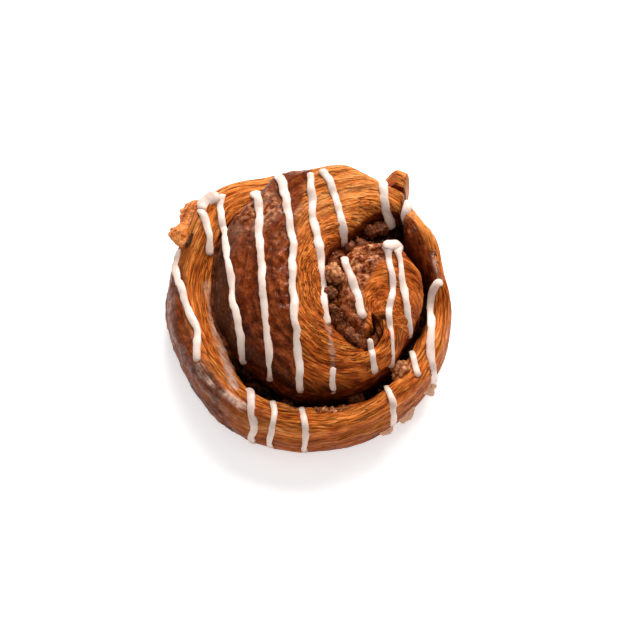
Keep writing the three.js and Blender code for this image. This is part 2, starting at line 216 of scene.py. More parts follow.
# Ovals: middle x and y, half axes.
RIM = (0.0, 0.0, ROUND_RADIUS, ROUND_RADIUS)
RING = (4.0, 0.0, 39.5, 39.5)
OVAL = (21.0, -1.0, 13.0, 20.5)
MOVING_IN = (418, 462)
CREVICE_CLOSING, GAP_CLOSING = 85, 50
TIP_FLARE, TIP_FLARE_LENGTH, TAIL_COVERED = 6.0, 26.0, 24.0


def reach(oval, angle):
    """Distance from the eye to an oval along a direction."""
    x, y, a, b = oval
    turn = np.radians(angle)
    dx, dy = np.cos(turn) / a, np.sin(turn) / b
    ox, oy = (EYE[0] - x) / a, (EYE[1] - y) / b
    square, half = dx * dx + dy * dy, ox * dx + oy * dy
    return (np.sqrt(half * half - square * (ox * ox + oy * oy - 1)) - half) / square


def crevice(angle):
    """Middle line of the crevice, which closes at the eye."""
    path = mix(reach(RING, angle) + crevice_offset(angle), reach(OVAL, angle), smooth(*MOVING_IN, angle))
    return path * (1 - smooth(CREVICE_END - CREVICE_CLOSING, CREVICE_END, angle))


def gap(angle):
    """Width of the crevice."""
    return gap_width(angle) * (1 - smooth(CREVICE_END - GAP_CLOSING, CREVICE_END, angle))


def tip_flare(angle):
    """How far the loose end of the strip leans out at its top."""
    return TIP_FLARE * (1 - smooth(TIP, TIP + TIP_FLARE_LENGTH, angle))


def inner_edge(angle):
    """Inner edge of the strip."""
    return crevice(angle) + gap(angle) / 2


def outer_edge(angle):
    """Outer edge of the strip: the outline at first, and the crevice one turn before later on."""
    before = np.asarray(angle, float) - TURN
    outline = reach(RIM, angle) + outline_offset(angle) + tip_flare(angle)
    return mix(outline, crevice(before) - gap(before) / 2, smooth(TEAR - TAIL_COVERED, TEAR, angle))


def place(angle, radius):
    """Plan place of a point of the strip."""
    turn = np.radians(angle)
    return EYE[0] + radius * np.cos(turn), EYE[1] + radius * np.sin(turn)


print("rim width at the front in millimetres:", round(float(outer_edge(FRONT) - inner_edge(FRONT)), 1))

# %% [markdown]
# The roll stands up inside the rim as a dome that falls off fastest to the left and slowest to the back.
# Its core has sunk and its back has swollen. A sculpted surface would do, but a formula can be asked for
# the height at any place, which the edges, the filling and the icing need.

# %% Dome of the roll
DOME_HEIGHT, DOME_FALL, DOME_POWER = 40.0, 14, 3.5
DOME_X, DOME_Y = 5, 18
DOME_LEFT, DOME_RIGHT, DOME_FRONT, DOME_BACK = 41.0, 48.0, 56.0, 75.0
# Mounds: height, middle x and y, widths.
CORE_SINK = (4.5, 24, 0, 15, 20)
BACK_SWELL = (2.5, 16, 46, 22, 12)


def mound(shape, x, y):
    """A soft round mound in plan."""
    height, middle_x, middle_y, width_x, width_y = shape
    return height * np.exp(-((x - middle_x) / width_x) ** 2 - ((y - middle_y) / width_y) ** 2)


def dome(x, y):
    """Top of the roll inside the rim."""
    dx, dy = x - DOME_X, y - DOME_Y
    across = dx / np.where(dx < 0, DOME_LEFT, DOME_RIGHT)
    forward = dy / np.where(dy < 0, DOME_FRONT, DOME_BACK)
    fall = DOME_FALL * np.hypot(across, forward) ** DOME_POWER
    return DOME_HEIGHT - fall - mound(CORE_SINK, x, y) + mound(BACK_SWELL, x, y)


print("height of the sunk core in millimetres:", round(float(dome(24, 0)), 1))

# %% [markdown]
# The rim is low at the front and left, rises at the right into a torn petal that leans in, and climbs from
# there into the roll. Every edge of the strip is rounded over by the oven, and the tear cuts a notch across
# it. A bevel could round the edges, but its width would be the same all along, and here it changes.

# %% Heights of the swirl
RIM_HEIGHT = 21.5
CLIMB_START, CLIMB_END = 408, 452
WALL_BULGE, FOOT_TUCK = 1.2, 1.8
OUTSIDE_SHARE, EDGE_CLOSING = 0.45, 30
NOTCH, NOTCH_WIDTH, NOTCH_DEPTH = TEAR - 0.6, 2.6, 6.0
CALM_EYE = 9


def crest(angle, radius):
    """Top of the strip before its edges are rounded."""
    rim = RIM_HEIGHT + rim_rise(np.minimum(angle, CLIMB_END))
    return mix(rim, dome(*place(angle, radius)), smooth(CLIMB_START, CLIMB_END, angle))


def shoulder(distance, radius):
    """Drop of a rounded edge at a distance in from it."""
    share = np.clip(distance / np.maximum(radius, 1e-6), 0, 1)
    return radius * (1 - np.sqrt(np.clip(1 - (1 - share) ** 2, 0, 1)))


def notch_depth(angle):
    """Depth of the notch that the tear cuts across the strip."""
    return NOTCH_DEPTH * bump(NOTCH, NOTCH_WIDTH, angle)


def top_height(angle, radius):
    """Height of the dough's upper face."""
    inner, outer = inner_edge(angle), outer_edge(angle)
    share = inside_share(angle)
    closing = 1 - smooth(CREVICE_END - EDGE_CLOSING, CREVICE_END, angle)
    inside = np.minimum(inside_round(angle) * closing, share * (outer - inner))
    outside = np.minimum(outside_round(angle), np.minimum(OUTSIDE_SHARE, 1 - share) * (outer - inner))
    quick_waves = 0.5 * np.sin(np.radians(angle * 7) + radius * 0.35)
    slow_waves = 0.4 * np.sin(np.radians(angle * 3) - radius * 0.8)
    waves = (quick_waves + slow_waves) * smooth(0, CALM_EYE, radius)
    drop = shoulder(radius - inner, inside) * inside_fall(angle) + shoulder(outer - radius, outside)
    return crest(angle, radius) + waves - drop - notch_depth(angle)


def wall_radius(angle, share):
    """Outer wall at a share of its height: it swells in the middle and tucks in at the foot."""
    outside = 1 - smooth(TEAR - TAIL_COVERED, TEAR, angle)
    swell = WALL_BULGE * np.sin(np.pi * share) - FOOT_TUCK * (1 - share) ** 4
    return outer_edge(angle) + outside * (swell - tip_flare(angle) * (1 - share))


print("rim height at the front in millimetres:", round(float(top_height(FRONT, outer_edge(FRONT) - 6)), 1))

# %% [markdown]
# Many pieces here are a flat grid that is rolled up: one side of the grid runs along the piece, the other
# round it. bmesh makes the grid, numpy works out where each of its points goes, and welding closes the seam
# and the ends. Extruding ring after ring would give the same mesh, but far more slowly. The grid keeps a UV
# map in millimetres along and across the strip, which the flaky streaks follow later.

# %% A rolled-up grid
UV_UNIT = 100.0
WELD_DISTANCE, FLAT_DISTANCE = 1e-7, 1e-8


def weld(mesh):
    """Merges what coincides, turns all faces out and shades them smoothly."""
    bm = bmesh.new()
    bm.from_mesh(mesh)
    bmesh.ops.remove_doubles(bm, verts=bm.verts, dist=WELD_DISTANCE)
    bmesh.ops.dissolve_degenerate(bm, edges=bm.edges, dist=FLAT_DISTANCE)
    bmesh.ops.recalc_face_normals(bm, faces=bm.faces)
    bm.to_mesh(mesh)
    bm.free()
    mesh.shade_smooth()


def flat_grid(name, along, around):
    """A flat grid mesh, with the column and row of each of its points."""
    bm = bmesh.new()
    bm.loops.layers.uv.new("strip")
    bmesh.ops.create_grid(bm, x_segments=along, y_segments=around, size=0.5, calc_uvs=True)
    mesh = bpy.data.meshes.new(name)
    bm.to_mesh(mesh)
    bm.free()
    flat = np.empty(len(mesh.vertices) * 3)
    mesh.vertices.foreach_get("co", flat)
    flat = flat.reshape(-1, 3)
    column = np.rint((flat[:, 0] + 0.5) * along).astype(int)
    row = np.rint((flat[:, 1] + 0.5) * around).astype(int)
    return mesh, column, row


def rolled_grid(name, places, attributes=None, uvs=None):
    """A welded mesh from places in millimetres, indexed along and round the piece."""
    mesh, column, row = flat_grid(name, places.shape[0] - 1, places.shape[1] - 1)
    mesh.vertices.foreach_set("co", (places[column, row] * MM).ravel())
    for key, values in (attributes or {}).items():
        layer = mesh.attributes.new(key, "FLOAT", "POINT")
        layer.data.foreach_set("value", np.clip(values[column, row], 0, 1).astype(np.float32))
    if uvs is not None:
        corner_vertex = np.empty(len(mesh.loops), dtype=np.int32)
        mesh.loops.foreach_get("vertex_index", corner_vertex)
        corner_uv = uvs[column[corner_vertex], row[corner_vertex]] / UV_UNIT
        mesh.uv_layers["strip"].data.foreach_set("uv", corner_uv.astype(np.float32).ravel())
    weld(mesh)
    return mesh


print("grids carry UV maps in units of", UV_UNIT, "millimetres")

# %% [markdown]
# Every finished mesh goes into the scene in the same way: it gets its material, rides on the one body that
# the pastry has, stands for a node of the solids and fills a material slot. One helper does all of that, so
# that no piece goes without.

# %% Pieces in the scene
def add_piece(mesh, material, node):
    """Puts a finished mesh into the scene as a piece that stands for a CAD node."""
    mesh.materials.append(material)
    piece = bpy.data.objects.new(mesh.name, mesh)
    scene.collection.objects.link(piece)
    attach(piece, "root")
    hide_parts(node)
    print(mesh.name, "has", len(mesh.polygons), "faces")


# %% [markdown]
# A material in Blender is a tree of nodes, and a script makes it by adding nodes and linking their sockets.
# That takes several lines for each node. Three short helpers keep the recipes below readable: one adds a
# node, one feeds a socket with a link or a value, and one starts a fresh material.

# %% Nodes and links
def add_node(tree, kind, **settings):
    """A new node with its settings."""
    node = tree.nodes.new(kind)
    for key, value in settings.items():
        setattr(node, key, value)
    return node


def feed(tree, socket, value):
    """Links a socket or sets a number or colour on an input."""
    if isinstance(value, bpy.types.NodeSocket):
        tree.links.new(value, socket)
    elif isinstance(value, tuple):
        socket.default_value = (*value, 1)
    else:
        socket.default_value = value


def new_material(name):
    """A fresh material with its tree and shader."""
    material = bpy.data.materials.new(name)
    material.use_nodes = True
    return material, material.node_tree, material.node_tree.nodes["Principled BSDF"]


print("materials before the first piece:", len(bpy.data.materials))

# %% [markdown]
# The same few moves come back in each finish: look up a colour on a ramp, map a value to another range, mix
# two colours, add or multiply two values. Each is one node of Blender's, wrapped so that it reads as a
# function which takes sockets and gives one back.

# %% Ramps, mixes and sums
def colour_ramp(tree, factor, stops):
    """The colour at a factor between (position, colour) stops."""
    node = tree.nodes.new("ShaderNodeValToRGB")
    elements = node.color_ramp.elements
    while len(elements) < len(stops):
        elements.new(0.5)
    for element, (position, colour) in zip(elements, stops):
        element.position = position
        element.color = (*colour, 1)
    feed(tree, node.inputs["Fac"], factor)
    return node.outputs["Color"]


def value_ramp(tree, factor, start, end, low=0.0, high=1.0):
    """A factor mapped from one range to another and held there."""
    node = add_node(tree, "ShaderNodeMapRange", interpolation_type="SMOOTHSTEP")
    names = ("Value", "From Min", "From Max", "To Min", "To Max")
    for name, value in zip(names, (factor, start, end, low, high)):
        feed(tree, node.inputs[name], value)
    return node.outputs["Result"]


def mix_colours(tree, factor, first, second):
    """Two colours mixed by a factor."""
    node = add_node(tree, "ShaderNodeMix", data_type="RGBA")
    for index, value in ((0, factor), (6, first), (7, second)):
        feed(tree, node.inputs[index], value)
    return node.outputs[2]


def arithmetic(tree, operation, first, second):
    """A sum, product or the like of two values."""
    node = add_node(tree, "ShaderNodeMath", operation=operation)
    feed(tree, node.inputs[0], first)
    feed(tree, node.inputs[1], second)
    return node.outputs["Value"]


def blend(tree, first, share, second):
    """Two values added in shares that make 1."""
    return arithmetic(tree, "ADD", arithmetic(tree, "MULTIPLY", first, share),
                      arithmetic(tree, "MULTIPLY", second, 1 - share))


print("colour and value helpers are ready")

# %% [markdown]
# Food is never even, so each finish starts from noise: grains of a size in millimetres, in the piece's own
# space, so that they stay put when the piece moves. Where something lies on the surface, such as stain, is
# a mask that the mesh carries. A bump node turns a height into fine relief that needs no faces.

# %% Grain, masks and fine relief
def speckle(tree, size, detail=2.0):
    """Noise in the piece's own space, with grains of a size in millimetres."""
    coordinates = tree.nodes.new("ShaderNodeTexCoord")
    grain = tree.nodes.new("ShaderNodeTexNoise")
    grain.inputs["Scale"].default_value = 1 / (size * MM)
    grain.inputs["Detail"].default_value = detail
    tree.links.new(coordinates.outputs["Object"], grain.inputs["Vector"])
    return grain.outputs["Fac"]


def mask(tree, name):
    """A mask that the mesh carries."""
    return add_node(tree, "ShaderNodeAttribute", attribute_name=name).outputs["Fac"]


def rough_normal(tree, height, depth, strength):
    """A normal bent by a height, with its depth in millimetres."""
    relief = tree.nodes.new("ShaderNodeBump")
    relief.inputs["Strength"].default_value = strength
    relief.inputs["Distance"].default_value = depth * MM
    feed(tree, relief.inputs["Height"], height)
    return relief.outputs["Normal"]


print("grains are sized in units of", MM, "metres")

# %% [markdown]
# Baked laminated dough shows its layers wherever a cut face looks out: fine golden lines along the strip,
# broken by short dark slots where the layers parted. Noise in space would run straight through the coil.
# These lines follow the strip, so one shared node group draws streaks from the UV map, with a length and a
# width.

# %% Streak group
def streak_group():
    """Streaks along the strip, from its UV map, with a length and a width in UV units."""
    group = bpy.data.node_groups.new("strip_streaks", "ShaderNodeTree")
    for name, direction in (("Length", "INPUT"), ("Width", "INPUT"), ("Streak", "OUTPUT")):
        group.interface.new_socket(name, in_out=direction, socket_type="NodeSocketFloat")
    source = group.nodes.new("NodeGroupInput")
    result = group.nodes.new("NodeGroupOutput")
    uv = add_node(group, "ShaderNodeUVMap", uv_map="strip")
    split = group.nodes.new("ShaderNodeSeparateXYZ")
    join = group.nodes.new("ShaderNodeCombineXYZ")
    grain = add_node(group, "ShaderNodeTexNoise", noise_dimensions="2D")
    grain.inputs["Scale"].default_value = 1.0
    grain.inputs["Detail"].default_value = 2.0
    grain.inputs["Distortion"].default_value = 0.3
    group.links.new(uv.outputs["UV"], split.inputs["Vector"])
    for axis, size in (("X", "Length"), ("Y", "Width")):
        stretched = arithmetic(group, "DIVIDE", split.outputs[axis], source.outputs[size])
        group.links.new(stretched, join.inputs[axis])
    group.links.new(join.outputs["Vector"], grain.inputs["Vector"])
    group.links.new(grain.outputs["Fac"], result.inputs["Streak"])
    return group


STREAKS = streak_group()


def streaks(tree, length, width):
    """One use of the streak group, with sizes in millimetres."""
    node = add_node(tree, "ShaderNodeGroup", node_tree=STREAKS)
    node.inputs["Length"].default_value = length / UV_UNIT
    node.inputs["Width"].default_value = width / UV_UNIT
    return node.outputs["Streak"]


print("streak group has", len(STREAKS.nodes), "nodes")

# %% [markdown]
# The dough's colour stacks what happened to it: golden streaks that the oven browned more in some places,
# stain from the filling, a sugar crust, thin glaze, and the dark of the slots. Painted light is stacked in
# too: sheen at the back of the roll, shade at its front and near-black shade in the deep crevice. Masks on
# the mesh say where each of these is. The food's own colours stay right under any light, but the painted
# light and shade suit only this lighting.

# %% Dough colours
GOLD_STOPS = [
    (0.30, (0.24, 0.034, 0.0035)),
    (0.43, (0.52, 0.104, 0.011)),
    (0.57, (0.75, 0.215, 0.034)),
    (0.74, (0.90, 0.37, 0.11)),
]
STAIN_STOPS = [(0.37, (0.045, 0.005, 0.001)), (0.5, (0.16, 0.0235, 0.0035)), (0.66, (0.38, 0.084, 0.017))]
SUGAR_STOPS = [(0.38, (0.11, 0.015, 0.0025)), (0.49, (0.29, 0.060, 0.011)), (0.62, (0.58, 0.24, 0.11))]
# The second colour is painted shade for the deep crevice.
SLOT_DARK, CREVICE_SHADE = (0.12, 0.02, 0.004), (0.007, 0.001, 0.0005)
GLAZE_AND_SHEEN = (0.74, 0.50, 0.385)
EVEN_BROWNING_AND_LIGHT, BROWNING_AND_LIGHT_STRENGTH = 0.4, 0.4


def dough_colour(tree, streak, slots):
    """The stack of colours on the dough."""
    # Browning and painted light: a higher mask value gives darker gold, partly as painted shade.
    paler = arithmetic(tree, "SUBTRACT", EVEN_BROWNING_AND_LIGHT, mask(tree, "browning_and_light"))
    tone = arithmetic(tree, "ADD", streak, arithmetic(tree, "MULTIPLY", paler, BROWNING_AND_LIGHT_STRENGTH))
    gold = colour_ramp(tree, tone, GOLD_STOPS)
    blotchy = blend(tree, speckle(tree, 3.6, 5.0), 0.6, streaks(tree, 16.0, 2.2))
    stain_tone = blend(tree, blotchy, 0.74, speckle(tree, 1.0, 3.0))
    stained = mix_colours(tree, mask(tree, "coat"), gold, colour_ramp(tree, stain_tone, STAIN_STOPS))
    sugar = colour_ramp(tree, speckle(tree, 1.5, 4.0), SUGAR_STOPS)
    sugared = mix_colours(tree, mask(tree, "sugar"), stained, sugar)
    slotted = mix_colours(tree, slots, sugared, SLOT_DARK)
    torn = blend(tree, speckle(tree, 1.6, 4.0), 0.6, streaks(tree, 7.0, 0.9))
    film = arithmetic(tree, "MULTIPLY", mask(tree, "glaze_and_sheen"), value_ramp(tree, torn, 0.34, 0.56, 0.3, 1.0))
    glazed = mix_colours(tree, film, slotted, GLAZE_AND_SHEEN)
    # Painted shade: the deep crevice darkens to near black.
    return mix_colours(tree, mask(tree, "deep"), glazed, CREVICE_SHADE)


print("shades of gold:", len(GOLD_STOPS))

# %% [markdown]
# Butter gives the crust a soft warm shine, and sticky sugar adds small wet glints where filling lies on the
# dough. The parted layers are dark slots and seams, too fine to model one by one, so the streak group draws
# them and the same value presses them into the bump.

# %% Dough material
BUTTER_SHINE = (1.0, 0.66, 0.38)
DOUGH_SPECULAR, WET_ROUGHNESS = 0.14, 0.2


def dough_slots(tree):
    """Dark where layers parted: fine slots, the slots of the relief and long seams."""
    fine = value_ramp(tree, streaks(tree, 3.4, 0.42), 0.57, 0.63)
    fine = arithmetic(tree, "MULTIPLY", mask(tree, "clean"), fine)
    level = arithmetic(tree, "ABSOLUTE", arithmetic(tree, "SUBTRACT", streaks(tree, 30.0, 1.7), 0.5), 0.0)
    seams = value_ramp(tree, level, 0.008, 0.04, 1.0, 0.0)
    seams = arithmetic(tree, "MULTIPLY", mask(tree, "layered"), seams)
    return arithmetic(tree, "MAXIMUM", arithmetic(tree, "MAXIMUM", fine, mask(tree, "slot")), seams)


def dough_material():
    """Golden flaky dough with a buttery shine."""
    material, tree, shader = new_material("laminated_dough")
    streak = blend(tree, streaks(tree, 4.5, 0.45), 0.6, streaks(tree, 24.0, 2.6))
    slots = dough_slots(tree)
    feed(tree, shader.inputs["Base Color"], dough_colour(tree, streak, slots))
    stained = arithmetic(tree, "MULTIPLY", mask(tree, "coat"), 0.6)
    sticky = arithmetic(tree, "MAXIMUM", mask(tree, "sugar"), stained)
    dull = value_ramp(tree, speckle(tree, 2.4), 0.35, 0.65, 0.4, 0.6)
    smoother = arithmetic(tree, "MULTIPLY", sticky, 0.17)
    feed(tree, shader.inputs["Roughness"], arithmetic(tree, "SUBTRACT", dull, smoother))
    shader.inputs["Specular IOR Level"].default_value = DOUGH_SPECULAR
    shader.inputs["Specular Tint"].default_value = (*BUTTER_SHINE, 1)
    wet_spots = value_ramp(tree, speckle(tree, 1.3, 3.0), 0.52, 0.62, 0.0, 0.5)
    feed(tree, shader.inputs["Coat Weight"], arithmetic(tree, "MULTIPLY", sticky, wet_spots))
    shader.inputs["Coat Roughness"].default_value = WET_ROUGHNESS
    grit = arithmetic(tree, "MULTIPLY", speckle(tree, 0.9, 3.0), 0.4)
    raised = arithmetic(tree, "ADD", streak, grit)
    ridges = arithmetic(tree, "SUBTRACT", raised, arithmetic(tree, "MULTIPLY", slots, 0.6))
    feed(tree, shader.inputs["Normal"], rough_normal(tree, ridges, 0.7, 0.8))
    return material


DOUGH = dough_material()
print("dough material has", len(DOUGH.node_tree.nodes), "nodes")

# %% [markdown]
# The dough is a grid that is rolled round the strip's section and wound along the spiral. A section runs
# over the base, up the outer wall, across the top and down the inner wall. All that is known about the
# points of this skin is kept together under one name, so that the masks and the relief can ask for it.

# %% Section of the strip
BASE_SHARE, WALL_SHARE, TOP_SHARE = 0.05, 0.19, 0.62
WALL_END = BASE_SHARE + WALL_SHARE
TOP_END = WALL_END + TOP_SHARE
EDGE_CROWDING = 0.45
STATION_SAMPLES = 3000


def strip_stations(start, end, count):
    """Angles at even lengths along the middle of the strip, and those lengths."""
    angles = np.linspace(start, end, STATION_SAMPLES)
    x, y = place(angles, (inner_edge(angles) + outer_edge(angles)) / 2)
    lengths = np.concatenate([[0], np.cumsum(np.hypot(np.diff(x), np.diff(y)))])
    even = np.linspace(0, lengths[-1], count)
    return np.interp(even, lengths, angles)[:, None], even[:, None]


def strip_skin(angle, around):
    """Places of a grid of points, by angle along the strip and by share round its section."""
    skin = SimpleNamespace(angle=angle, inner=inner_edge(angle), outer=outer_edge(angle))
    even = np.clip((around - WALL_END) / TOP_SHARE, 0, 1)
    skin.wall = np.clip((around - BASE_SHARE) / WALL_SHARE, 0, 1)
    skin.across = mix(even, 0.5 - 0.5 * np.cos(np.pi * even), EDGE_CROWDING) + 0 * angle
    skin.inside = np.clip((around - TOP_END) / (1 - TOP_END), 0, 1)
    skin.parts = [around < BASE_SHARE, around < WALL_END, around < TOP_END]
    skin.on_base = around < BASE_SHARE
    skin.on_wall = (around >= BASE_SHARE) & (around < WALL_END)
    skin.on_top = (around >= WALL_END) & (around < TOP_END)
    skin.wall_height, skin.inside_height = top_height(angle, skin.outer), top_height(angle, skin.inner)
    base_radius = mix(skin.inner, wall_radius(angle, 0.0), around / BASE_SHARE)
    top_radius = mix(skin.outer, skin.inner, skin.across)
    radii = [base_radius, wall_radius(angle, skin.wall), top_radius]
    skin.radius = np.select(skin.parts, radii, skin.inner)
    heights = [0 * skin.radius, skin.wall_height * skin.wall, top_height(angle, top_radius)]
    skin.height = np.select(skin.parts, heights, skin.inside_height * (1 - skin.inside))
    skin.x, skin.y = place(angle, skin.radius)
    return skin


print("shares of base, wall, top and inside:", BASE_SHARE, WALL_SHARE, TOP_SHARE, round(1 - TOP_END, 2))

# %% [markdown]
# The layers of the dough run along the strip, so the streaks and the relief need distances along and across
# it. In the core the strip is wound so tightly that these would squeeze together at the eye, where the real
# layers turn in open arcs. There the distances turn about a point beside the eye instead.

# %% Distances along and across the strip
ARC_CENTRE, ARC_RADIUS = (29.5, -9.0), 14.0
CORE_START, CORE_FADE = 690, 50
BASE_DEPTH = 5
NOISE_CELLS = 256


def value_noise(x, y, seed):
    """Smooth noise between -1 and 1 on a plane, the same in each run."""
    table = np.random.default_rng(seed).uniform(-1, 1, (NOISE_CELLS, NOISE_CELLS))
    column, row = np.floor(x).astype(int), np.floor(y).astype(int)
    dx, dy = smooth(0, 1, x - column), smooth(0, 1, y - row)

    def corner(i, j):
        return table[(column + i) % NOISE_CELLS, (row + j) % NOISE_CELLS]

    return mix(mix(corner(0, 0), corner(1, 0), dx), mix(corner(0, 1), corner(1, 1), dx), dy)


def strip_noise(skin, length, width, seed):
    """Noise with grains of a length along the strip and a width across it."""
    return value_noise(skin.forward / length, skin.sideways / width, seed)


def set_distances(skin, along):
    """Adds the distances to a skin, and a noise that makes edges wander."""
    width = skin.outer - skin.inner
    below = -skin.wall_height - BASE_DEPTH + 0 * skin.radius
    beside = (skin.wall - 1) * skin.wall_height
    past_lip = width + skin.inside * skin.inside_height
    from_outer = np.select(skin.parts, [below, beside, skin.across * width], past_lip)
    sideways = from_outer - 0.5 * smooth(NOTCH - 1, NOTCH + 1, skin.angle) * width
    in_core = smooth(CORE_START, CORE_START + CORE_FADE, skin.angle)
    arc_x, arc_y = skin.x - ARC_CENTRE[0], skin.y - ARC_CENTRE[1]
    skin.sideways = mix(sideways, np.hypot(arc_x, arc_y), in_core)
    skin.forward = mix(along + 0 * skin.radius, ARC_RADIUS * np.arctan2(arc_x, -arc_y), in_core)
    skin.wander = strip_noise(skin, 7, 4, 3)


print("streaks in the core turn about", ARC_CENTRE)

# %% [markdown]
# Icing that was wiped or soaked in leaves a thin pale film, too thin to be a piece of its own. It is a mask
# on the dough: a few lines in plan, some broken into patches, and a light dusting at the back left of the
# roll. The same pale film paints sheen on that dusting and glints on the right rim. The film's edge wanders,
# so that no line looks drawn.

# %% Smears of thin icing
# Half width, strength, how broken it is, and the line in plan.
SMEARS = [
    (2.2, 0.75, 0.5, [(-37.8, 6.5), (-35.0, -7.2), (-32.0, -17.0), (-28.6, -27.5), (-26.5, -34.0)]),
    (2.0, 0.85, 0.9, [(-38.9, -26.5), (-34.5, -32.0), (-29.6, -37.5), (-23.1, -42.6)]),
    (1.8, 0.4, 0.6, [(-39.3, -34.8), (-34.6, -39.2)]),
    (1.4, 0.45, 0.2, [(-40.0, -25.0), (-38.6, -29.0), (-36.2, -31.0)]),
    (1.1, 0.45, 0.2, [(7.2, -17.0), (8.0, -22.0), (8.9, -28.0), (8.9, -36.0)]),
    # On the right rim the film is thin icing and painted glints.
    (1.6, 0.5, 0.7, [(46.4, 14.8), (47.5, 11.4), (49.3, 6.9)]),
]
# The dusting is partly a thin film and partly painted sheen.
DUSTING_AND_SHEEN = (0.3, -24, 30, 12, 9)


def distance_to_line(x, y, line):
    """Plan distance to a broken line."""
    nearest = np.full(np.broadcast(x, y).shape, 1e3)
    for (x0, y0), (x1, y1) in zip(line[:-1], line[1:]):
        length = (x1 - x0) ** 2 + (y1 - y0) ** 2
        share = np.clip(((x - x0) * (x1 - x0) + (y - y0) * (y1 - y0)) / length, 0, 1)
        nearest = np.minimum(nearest, np.hypot(x - x0 - share * (x1 - x0), y - y0 - share * (y1 - y0)))
    return nearest


def smear_cover(skin):
    """How much pale film covers the dough: thin icing, and in places painted sheen and glints."""
    patches = smooth(-0.15, 0.3, strip_noise(skin, 4, 1.5, 25))
    cover = 0 * skin.x
    for half_width, strength, broken, line in SMEARS:
        away = distance_to_line(skin.x, skin.y, line) + 0.6 * skin.wander
        film = strength * (1 - smooth(0.35 * half_width, half_width, away))
        cover = np.maximum(cover, film * mix(1.0, patches, broken))
    dusting = mound(DUSTING_AND_SHEEN, skin.x, skin.y) * smooth(TEAR, TEAR + 20, skin.angle)
    return np.maximum(cover, dusting * smooth(-0.3, 0.4, strip_noise(skin, 5, 3, 26)))


print("smears of thin icing:", len(SMEARS))

# %% [markdown]
# The left of the roll and the walls were rolled up against filling, so they are stained dark. On the right,
# only a golden band beside the outer edge stays clean, and the upper left of the core is sticky with sugar.
# At the left rim the outer part of the top and the wall are darker as well, partly stain and partly painted
# shade where the rim falls away. A painted map would need an image, so each mask is worked out from the
# place along and across the strip.

# %% Stain and sugar
STAIN_EDGE_X, STAIN_EDGE_BACK_X = -4.0, 1.0
SUGAR_EDGE_X, SUGAR_EDGE_Y = (21.0, 20.8, 19.8, 23.7, 32.2), (-20.0, -14.5, -5.0, 5.8, 15.5)
SUGAR_PATCH = (0.95, -17, 33, 19, 15)
# Bands of angles: where each starts, is full, fades and ends.
RIGHT_SIDE = (336, 374, 428, 433)
LEFT_RIM = (150, 166, 206, 240)
LEFT_OF_ROLL = (445, 470, 640, 690)
golden_band = changing(6.4, [(384, 400, -3.6), (404, 424, 2.2)], [])


def core_sugar(skin):
    """1 on the upper left of the core, which is sticky with sugar."""
    left = np.interp(skin.y, SUGAR_EDGE_Y, SUGAR_EDGE_X) - skin.x
    return smooth(-1.2, 1.2, left + 1.5 * skin.wander) * smooth(CORE_START, CORE_START + 40, skin.angle)


def stain_on_top(skin):
    """Stain on the upper face: left of the roll, inner lip, slope at the right, left rim and core."""
    edge = mix(STAIN_EDGE_X, STAIN_EDGE_BACK_X, smooth(25, 48, skin.y)) - 1.4 * skin.wander
    left = (1 - smooth(-1.2, 1.2, skin.x - edge)) * band(*LEFT_OF_ROLL, skin.angle)
    streaky = np.maximum(smooth(0.0, 0.16, skin.across + 0.05 * skin.wander), smooth(-28, -20, skin.x))
    lip = smooth(0.955, 0.99, skin.across + 0.015 * skin.wander)
    lip = lip * (1 - smooth(CORE_START, CORE_START + 30, skin.angle))
    golden = golden_band(skin.angle) + 0.7 * skin.wander
    slope = smooth(-0.8, 1.2, skin.outer - skin.radius - golden) * band(*RIGHT_SIDE, skin.angle)
    # Left rim: stain and painted shade on the outer part of the top.
    left_rim_stain_and_shade = 0.95 * band(*LEFT_RIM, skin.angle) * (1 - smooth(0.3, 0.5, skin.across + 0.1 * skin.wander))
    return np.maximum.reduce([left * mix(0.75, 1.0, streaky), lip, slope, left_rim_stain_and_shade, core_sugar(skin)])


def stain_mask(skin):
    """Filling stain all round the strip: full on the walls that were rolled up."""
    outer_turn = 1 - smooth(TEAR - TAIL_COVERED, TEAR, skin.angle)
    # The outer wall darkens towards its foot, and at the left rim with stain and painted shade.
    rim_wall = 0.1 + 0.3 * (1 - skin.wall) + 0.2 * skin.wander + 0.7 * band(*LEFT_RIM, skin.angle)
    wall = mix(1.0, rim_wall, outer_turn) + 0 * skin.radius
    base, inside = 0.2 + 0 * skin.radius, 1.0 + 0 * skin.radius
    return np.clip(np.select(skin.parts, [base, wall, stain_on_top(skin)], inside), 0, 1)


def sugar_mask(skin):
    """Sugary filling on the upper left of the core, and a dusting at the back left of the roll."""
    core = mix(0.45, 1.0, smooth(-8, 8, skin.y)) * core_sugar(skin)
    dusted = mound(SUGAR_PATCH, skin.x, skin.y) * smooth(-0.5, 0.3, skin.wander)
    dusted = dusted * smooth(436, 460, skin.angle)
    edge = 0.6 * (1 - smooth(0.03, 0.1, skin.across + 0.03 * skin.wander)) * bump(522, 26, skin.angle)
    return np.clip(core + dusted + edge, 0, 1) * skin.on_top


print("golden band at the right in millimetres:", round(float(golden_band(390)), 1))

# %% [markdown]
# An oven browns what stands free, so the front is deep brown, while the back, the petal and the loose tip
# stayed pale. The wall also darkens towards its foot. Part of this mask is painted light: the back of the
# roll is paler as painted sheen from the back lamp, and its front darker as painted shade. Low down in the
# crevice, on the lower right slope, under the roll's left edge and in the eye holes, painted shade darkens
# the dough. Both are masks too, so that the colours above can follow them.

# %% Browning, painted light and painted shade
EYE_HOLES = [(1.0, 27.2, -12.6, 1.8, 1.1), (1.0, 23.7, -18.1, 1.8, 1.1)]
FRONT_OF_ROLL = (492, 515, 600, 640)


